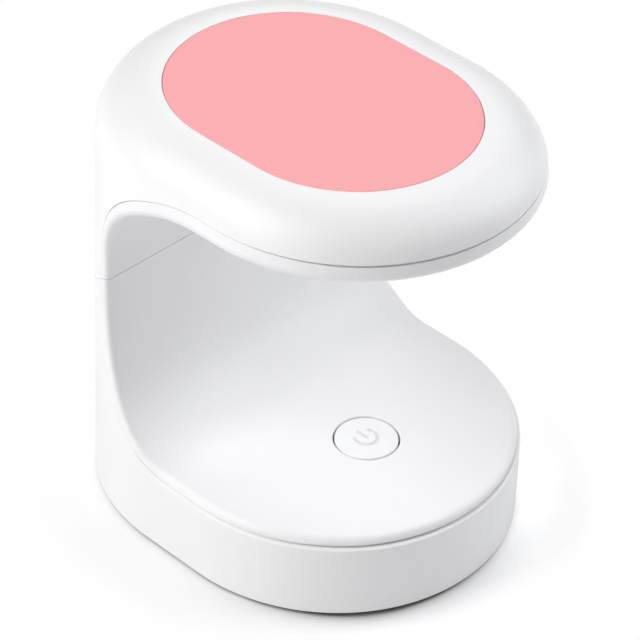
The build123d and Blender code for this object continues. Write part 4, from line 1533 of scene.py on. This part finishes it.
@dataclass(frozen=True)
class Finish:
    """Moulded or coated surface: a drifting colour, a grain, and the roughness of handling."""

    slot: str
    color: Tint
    roughness: float
    drift: float = 0.02
    drift_scale: float = 60.0
    grain_scale: float = 2600.0
    pits: float = 0.5
    swell: float = 1.0
    depth: float = 2e-6
    smudges: float = 0.06
    hairlines: float = 0.02
    specular: float = 0.5

    def shade(self, graph: Graph, effects: EffectLibrary) -> dict[str, object]:
        """Sockets of the Principled node that change over the surface."""
        tone = effects.place(graph, Effect.TONE, Color=self.color, Amount=self.drift, Scale=self.drift_scale)
        grain = effects.place(graph, Effect.GRAIN, Scale=self.grain_scale, Pits=self.pits, Swell=self.swell)
        return {
            "Base_Color": tone["Color"],
            "Roughness": self.handled(graph, effects),
            "Normal": self.bumped(graph, grain["Height"]),
        }

    def handled(self, graph: Graph, effects: EffectLibrary) -> Socket:
        """Roughness with this finish's smudges and hairlines."""
        sizes = {"Base": self.roughness, "Smudges": self.smudges, "Hairlines": self.hairlines}
        return effects.place(graph, Effect.HANDLING, **sizes)["Roughness"]

    def bumped(self, graph: Graph, height: Socket) -> Socket:
        """Normal from a height, at this finish's depth."""
        return graph.add("ShaderNodeBump", None, Strength=1.0, Distance=self.depth, Height=height).outputs[0]

    def constants(self) -> dict[str, object]:
        """Sockets of the Principled node that are the same all over."""
        return {"Specular_IOR_Level": self.specular}

    def build(self, effects: EffectLibrary) -> bpy.types.Material:
        """Makes the material."""
        material, graph = new_material(self.slot)
        sockets = {**self.constants(), **self.shade(graph, effects)}
        shader = graph.add("ShaderNodeBsdfPrincipled", None, **sockets)
        graph.add("ShaderNodeOutputMaterial", None, Surface=shader.outputs[0])
        return material


@dataclass(frozen=True)
class SatinCoat(Finish):
    """Moulding with a thin satin lacquer over it."""

    coat: float = 0.15
    coat_roughness: float = 0.3

    def constants(self) -> dict[str, object]:
        """The lacquer's own weight and roughness as well."""
        return {**super().constants(), "Coat_Weight": self.coat, "Coat_Roughness": self.coat_roughness}


@dataclass(frozen=True)
class MarkedCoat(SatinCoat):
    """Satin moulding whose sunk power mark is coloured a darker pale grey than the moulding."""

    mark_grey: Tint = (0.79, 0.79, 0.8, 1.0)
    mark_rougher: float = 0.12
    mark: PushButton = PushButton()

    def shade(self, graph: Graph, effects: EffectLibrary) -> dict[str, object]:
        """A darker pale grey inside the sunk mark, a little rougher than the moulding."""
        sockets = super().shade(graph, effects)
        mark = effects.place(
            graph, Effect.POWER_MARK, Middle=self.mark.x * MM, Radius=self.mark.mark_radius * MM,
            Line=self.mark.mark_line * MM, Bar=self.mark.mark_bar * MM,
            Gap_Cosine=math.cos(math.radians(self.mark.mark_gap / 2)),
        )["Mask"]
        # Inside the sunk mark the colour is a darker grey than the moulding.
        sockets["Base_Color"] = graph.blend(mark, sockets["Base_Color"], self.mark_grey)
        sockets["Roughness"] = graph.math("MULTIPLY_ADD", mark, self.mark_rougher, sockets["Roughness"])
        return sockets


@dataclass(frozen=True)
class Metal(Finish):
    """Drawn or plated metal with fine lines."""

    line_scale: float = 9000.0
    stretch: float = 14.0
    line_share: float = 0.12

    def shade(self, graph: Graph, effects: EffectLibrary) -> dict[str, object]:
        """Lines darken the colour a little, roughen it and give the height."""
        lines = effects.place(graph, Effect.BRUSHED, Scale=self.line_scale, Stretch=self.stretch)
        dark = tuple(value * (1 - self.line_share) for value in self.color[:3]) + (1.0,)
        return {
            "Base_Color": graph.blend(lines["Lines"], self.color, dark),
            "Roughness": self.handled(graph, effects),
            "Normal": self.bumped(graph, lines["Height"]),
        }

    def constants(self) -> dict[str, object]:
        """Metal all over."""
        return {"Metallic": 1.0}


@dataclass(frozen=True)
class Clear(Finish):
    """Clear polished plastic with faint wiping marks."""

    ior: float = 1.49

    def constants(self) -> dict[str, object]:
        """Lets light through all over."""
        return {"Transmission_Weight": 1.0, "IOR": self.ior}


@dataclass(frozen=True)
class Board(Finish):
    """Circuit board: lacquer over copper tracks, with bright pads."""

    track: Tint = (0.1, 0.4, 0.2, 1.0)
    pad: Tint = (0.75, 0.72, 0.66, 1.0)
    track_scale: float = 420.0
    track_width: float = 0.05
    pad_smoother: float = 0.15

    def shade(self, graph: Graph, effects: EffectLibrary) -> dict[str, object]:
        """Tracks tint the lacquer and stand proud of the board; pads are bare and smoother."""
        sockets = super().shade(graph, effects)
        tracks = effects.place(graph, Effect.TRACKS, Scale=self.track_scale, Width=self.track_width)
        color = graph.blend(tracks["Tracks"], sockets["Base_Color"], self.track)
        smoother = graph.math("MULTIPLY", tracks["Pads"], self.pad_smoother)
        sockets["Base_Color"] = graph.blend(tracks["Pads"], color, self.pad)
        sockets["Roughness"] = graph.math("SUBTRACT", sockets["Roughness"], smoother)
        sockets["Normal"] = self.bumped(graph, graph.math("MAXIMUM", tracks["Tracks"], tracks["Pads"]))
        return sockets


@dataclass(frozen=True)
class LampPackage(Finish):
    """Lamp seen from below: clear yellow dome under a pale ceramic body, parted at a height."""

    dome: Tint = (0.95, 0.72, 0.12, 1.0)
    dome_roughness: float = 0.12
    part_z: float = 71.49

    def shade(self, graph: Graph, effects: EffectLibrary) -> dict[str, object]:
        """The dome's colour below the parting height, smooth there and grainy above."""
        sockets = super().shade(graph, effects)
        z = graph.parts(graph.where())[2]
        below = graph.math("LESS_THAN", z, self.part_z * MM)
        sockets["Base_Color"] = graph.blend(below, sockets["Base_Color"], self.dome)
        smoother = graph.math("MULTIPLY", below, self.roughness - self.dome_roughness)
        sockets["Roughness"] = graph.math("MAXIMUM", graph.math("SUBTRACT", sockets["Roughness"], smoother), 0.05)
        return sockets


@dataclass(frozen=True)
class FinishBook:
    """Every finish of the lamp, by the record's material slot."""

    finishes: tuple[Finish, ...] = (
        SatinCoat("shell_white", (0.92, 0.92, 0.925, 1.0), 0.42, drift=0.012),
        SatinCoat("cover_white", (0.915, 0.915, 0.925, 1.0), 0.45, drift=0.015, swell=0.7),
        MarkedCoat("button_white", (0.93, 0.93, 0.935, 1.0), 0.4, drift=0.01, coat=0.1),
        Finish("inlay_pink", (0.985, 0.425, 0.44, 1.0), 0.55, drift=0.012, pits=0.8, depth=1.5e-6, specular=0.25),
        Finish("plate_white", (0.87, 0.87, 0.88, 1.0), 0.6, drift=0.03, grain_scale=1900.0, pits=1.0, depth=9e-6),
        Finish(
            "foot_rubber", (0.62, 0.62, 0.635, 1.0), 0.85,
            drift=0.12, grain_scale=1500.0, pits=1.0, depth=1.2e-5, specular=0.3,
        ),
        Metal("steel_screw", (0.62, 0.62, 0.64, 1.0), 0.34),
        Clear(
            "clear_window", (0.97, 0.98, 1.0, 1.0), 0.04,
            drift=0.005, pits=0.0, smudges=0.03, hairlines=0.05, depth=1e-6,
        ),
        Metal(
            "bright_reflector", (0.88, 0.885, 0.9, 1.0), 0.14,
            line_scale=700.0, stretch=1.0, line_share=0.03, depth=3e-6,
        ),
        Board("board_white", (0.9, 0.9, 0.88, 1.0), 0.4, track=(0.83, 0.83, 0.8, 1.0), depth=2.5e-5),
        Board("board_green", (0.05, 0.27, 0.12, 1.0), 0.35, track=(0.08, 0.4, 0.19, 1.0), depth=3e-5),
        LampPackage("lamp_ceramic", (0.9, 0.89, 0.84, 1.0), 0.5, depth=4e-6),
        Metal("socket_steel", (0.72, 0.72, 0.74, 1.0), 0.26),
        Finish("tongue_black", (0.03, 0.03, 0.035, 1.0), 0.5, drift=0.2, depth=4e-6),
        Finish("switch_black", (0.035, 0.035, 0.04, 1.0), 0.48, drift=0.2, depth=6e-6),
        Finish("plunger_grey", (0.2, 0.2, 0.22, 1.0), 0.5, drift=0.1, depth=4e-6),
        Finish("chip_black", (0.03, 0.03, 0.034, 1.0), 0.55, drift=0.25, grain_scale=3800.0, pits=1.0, depth=8e-6),
        Metal("capacitor_sleeve", (0.76, 0.77, 0.79, 1.0), 0.3, line_scale=5000.0),
        Finish("inductor_grey", (0.13, 0.13, 0.14, 1.0), 0.62, drift=0.3, grain_scale=2200.0, pits=1.0, depth=1.2e-5),
        Finish("plug_white", (0.87, 0.86, 0.81, 1.0), 0.5, drift=0.05, depth=4e-6),
        SatinCoat("lead_red", (0.55, 0.03, 0.025, 1.0), 0.4, drift=0.15, coat=0.3, depth=3e-6),
        SatinCoat("lead_black", (0.03, 0.03, 0.032, 1.0), 0.4, drift=0.2, coat=0.3, depth=3e-6),
    )

    def build(self) -> dict[str, bpy.types.Material]:
        """Makes every finish, by slot."""
        effects = EffectLibrary()
        return {finish.slot: finish.build(effects) for finish in self.finishes}


# ---------------------------------------------------------------------------
# Camera, lights and floor
# ---------------------------------------------------------------------------


@dataclass(frozen=True)
class SoftLamp:
    """Square soft light that looks at the middle of the lamp.

    Its level is how bright it makes a white card that faces it, so its power
    is level times pi squared times the distance squared.
    """

    name: str
    azimuth: float
    elevation: float
    level: float
    color: tuple[float, float, float] = (1.0, 1.0, 1.0)
    size: float = 0.9
    distance: float = 1.2
    aim_z: float = 0.04

    def build(self) -> None:
        """Places the light on a sphere round the object: (cos e cos a, cos e sin a, sin e) times the distance."""
        around, above = math.radians(self.azimuth), math.radians(self.elevation)
        way = Vector((math.cos(above) * math.cos(around), math.cos(above) * math.sin(around), math.sin(above)))
        data = bpy.data.lights.new(self.name, "AREA")
        data.shape = "SQUARE"
        data.size = self.size
        data.color = self.color
        data.energy = self.level * math.pi**2 * self.distance**2
        turn = (-way).to_track_quat("-Z", "Y").to_matrix().to_4x4()
        place = Matrix.Translation(way * self.distance + Vector((0.0, 0.0, self.aim_z)))
        add_object(self.name, data).matrix_world = place @ turn


@dataclass(frozen=True)
class TableTop:
    """Wide white table that keeps the object's shadow, plus painted shadow and painted light for the camera.

    Other rays meet one colour. For the camera a painted contact shadow
    deepens it where the base stands towards the front: a full level less two
    exponentials of the way out from the base's outline, where that outline is
    moved to the front right, so that the sides stay light. In the gap under
    the base's edge this painted shade goes down to a share. On the far side,
    where the lamps' own shadow falls, painted light lightens it. Further out
    it passes into plain white, the background's colour. Only the table's half
    side is in metres.
    """

    half_side: float = 3.0
    color: Tint = (0.88, 0.88, 0.885, 1.0)
    level: float = 1.06
    front_move: tuple[float, float] = (7.55, -4.9)
    front_lead: float = 9.0
    # Depths and reaches of the painted contact shadow, in millimetres.
    painted_close_shadow: float = 0.45
    close_reach: float = 0.8
    painted_wide_shadow: float = 0.33
    wide_reach: float = 3.0
    painted_gap_shade: float = 0.5
    gap_width: float = 0.7
    far_move: tuple[float, float] = (0.0, 16.0)
    far_edge: tuple[float, float] = (-3.4, 5.0)
    painted_far_light: float = 0.36
    white_edge: tuple[float, float] = (3.0, 14.0)

    def outside(self, graph: Graph, move: tuple[float, float]) -> Socket:
        """Distance from the base's outline, moved: length of (|x| past the straight side, y), less the radius."""
        outline = BASE_WALL.outline
        parts = graph.parts(graph.where())
        x = graph.math("ABSOLUTE", graph.math("SUBTRACT", parts[0], move[0] * MM))
        over = graph.math("MAXIMUM", graph.math("SUBTRACT", x, outline.half_straight * MM), 0.0)
        y = graph.math("SUBTRACT", parts[1], move[1] * MM)
        length = graph.math("SQRT", graph.math("MULTIPLY_ADD", over, over, graph.math("MULTIPLY", y, y)))
        return graph.math("SUBTRACT", length, outline.nominal_radius * MM)

    def passing(self, graph: Graph, edge: tuple[float, float], move: tuple[float, float] = (0.0, 0.0)) -> Socket:
        """Share of the way from the first to the second distance from the base's outline, moved."""
        return graph.spread(self.outside(graph, move), edge[0] * MM, edge[1] * MM)

    def seen(self, graph: Graph) -> Socket:
        """Colour that the camera sees near the base: painted contact shadow, painted shade in the gap and painted
        light on the far side.
        """
        # Painted contact shadow: the camera's table colour darkens towards the base's moved outline.
        way = graph.math("ADD", self.outside(graph, self.front_move), self.front_lead * MM)
        way = graph.math("MAXIMUM", way, 0.0)
        close = graph.math("EXPONENT", graph.math("DIVIDE", way, -self.close_reach * MM))
        wide = graph.math("EXPONENT", graph.math("DIVIDE", way, -self.wide_reach * MM))
        light = graph.math("MULTIPLY_ADD", close, -self.painted_close_shadow, self.level)
        light = graph.math("MULTIPLY_ADD", wide, -self.painted_wide_shadow, light)
        # Painted shade in the gap under the base's edge.
        gap = self.passing(graph, (-self.gap_width, 0.0))
        light = graph.math("MULTIPLY", light, graph.math("MULTIPLY_ADD", gap, 1.0 - self.painted_gap_shade, self.painted_gap_shade))
        # Painted light where the lamps' own shadow falls on the far side.
        away = graph.math("SUBTRACT", 1.0, self.passing(graph, self.far_edge, self.far_move))
        return graph.math("MULTIPLY", light, graph.math("MULTIPLY_ADD", away, self.painted_far_light, 1.0))

    def build(self) -> None:
        """Makes the table with its material."""
        side = self.half_side
        mesh = bpy.data.meshes.new("table")
        mesh.from_pydata([(-side, -side, 0), (side, -side, 0), (side, side, 0), (-side, side, 0)], [], [(0, 1, 2, 3)])
        floor = add_object("table", mesh)
        material, graph = new_material("table_white")
        camera_ray = graph.add("ShaderNodeLightPath").outputs["Is Camera Ray"]
        # Camera rays see the table colour with its painted shadow and painted light.
        diffuse = graph.add("ShaderNodeBsdfDiffuse", None, Color=graph.blend(camera_ray, self.color, self.seen(graph)))
        white = graph.add("ShaderNodeEmission", None, Color=WHITE, Strength=1.0)
        share = graph.math("MULTIPLY", self.passing(graph, self.white_edge), camera_ray)
        mix = graph.add("ShaderNodeMixShader", None, n0=share, n1=diffuse.outputs[0], n2=white.outputs[0])
        graph.add("ShaderNodeOutputMaterial", None, Surface=mix.outputs[0])
        mesh.materials.append(material)


@dataclass(frozen=True)
class Studio:
    """Pale table, soft light and the camera at the photograph's angle."""

    eye: tuple[float, float, float] = (0.26522, -0.28646, 0.33513)
    right: tuple[float, float, float] = (0.71873, 0.69451, 0.03289)
    up: tuple[float, float, float] = (-0.44405, 0.42211, 0.79034)
    ahead: tuple[float, float, float] = (-0.53502, 0.58264, -0.61179)
    lens: float = 167.55
    sensor: float = 36.0
    clip: tuple[float, float] = (0.01, 10.0)
    sky: float = 0.05
    table: TableTop = TableTop()
    lamps: tuple[SoftLamp, ...] = (
        SoftLamp("key_lamp", -120.0, 45.0, 0.735),
        SoftLamp("left_fill", -90.0, 25.0, 0.275),
        SoftLamp("right_fill", 60.0, 25.0, 0.515, (0.965, 0.975, 1.0)),
        SoftLamp("right_top", 60.0, 45.0, 0.175, (0.965, 0.975, 1.0)),
        SoftLamp("back_lamp", 120.0, 45.0, 0.235),
    )

    def camera(self) -> None:
        """Places the camera from its three axes."""
        data = bpy.data.cameras.new("camera")
        data.lens = self.lens
        data.sensor_width = self.sensor
        data.clip_start, data.clip_end = self.clip
        back = [-value for value in self.ahead]
        turn = Matrix((self.right, self.up, back)).transposed()
        camera = add_object("camera", data)
        camera.matrix_world = Matrix.Translation(self.eye) @ turn.to_4x4()
        bpy.context.scene.camera = camera

    def world(self) -> None:
        """Even grey light from all round, white where the camera sees it directly or through the window."""
        world = bpy.data.worlds.new("studio")
        bpy.context.scene.world = world
        world.use_nodes = True
        graph = Graph(world.node_tree)
        ray = graph.add("ShaderNodeLightPath")
        seen = graph.math("MAXIMUM", ray.outputs["Is Camera Ray"], ray.outputs["Is Transmission Ray"])
        soft = graph.add("ShaderNodeBackground", None, Color=WHITE, Strength=self.sky)
        white = graph.add("ShaderNodeBackground", None, Color=WHITE, Strength=1.0)
        mix = graph.add("ShaderNodeMixShader", None, n0=seen, n1=soft.outputs[0], n2=white.outputs[0])
        graph.add("ShaderNodeOutputWorld", None, Surface=mix.outputs[0])

    def build(self) -> None:
        """Makes the whole studio."""
        self.camera()
        self.world()
        self.table.build()
        for lamp in self.lamps:
            lamp.build()
        bpy.context.scene.view_settings.view_transform = "Standard"


def dress(pieces: dict[str, bpy.types.Object], finishes: dict[str, bpy.types.Material]) -> None:
    """Gives each new piece and each carried-over node its finish.

    Args:
        pieces: New pieces, by the material slot that they take.
        finishes: Finishes, by slot.
    """
    slots = {part["node"]: part["material_slot"] for part in frame["record"]["subparts"]}
    for name, node in frame["nodes"].items():
        if not node.material_slots:
            node.data.materials.append(None)
        node.material_slots[0].material = finishes[slots[name]]
    for name, piece in pieces.items():
        piece.data.materials.clear()
        piece.data.materials.append(finishes[slots[name]])
        log.info("%s has the finish %s", piece.name, slots[name])


def main() -> None:
    """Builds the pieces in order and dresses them."""
    logging.basicConfig(level=logging.INFO, format="%(message)s")
    Studio().build()
    builders = {
        "base_outer_shell": BaseHousing(),
        "head_outer_shell": HeadHousing(),
        "base_inner_cover": FloorCover(),
        "head_inner_cover": CeilingCover(),
        "top_inlay_panel": TopPanel(),
        "button_cap": PushButton(),
    }
    pieces = {node: builder.build() for node, builder in builders.items()}
    dress(pieces, FinishBook().build())


if __name__ == "__main__":
    main()
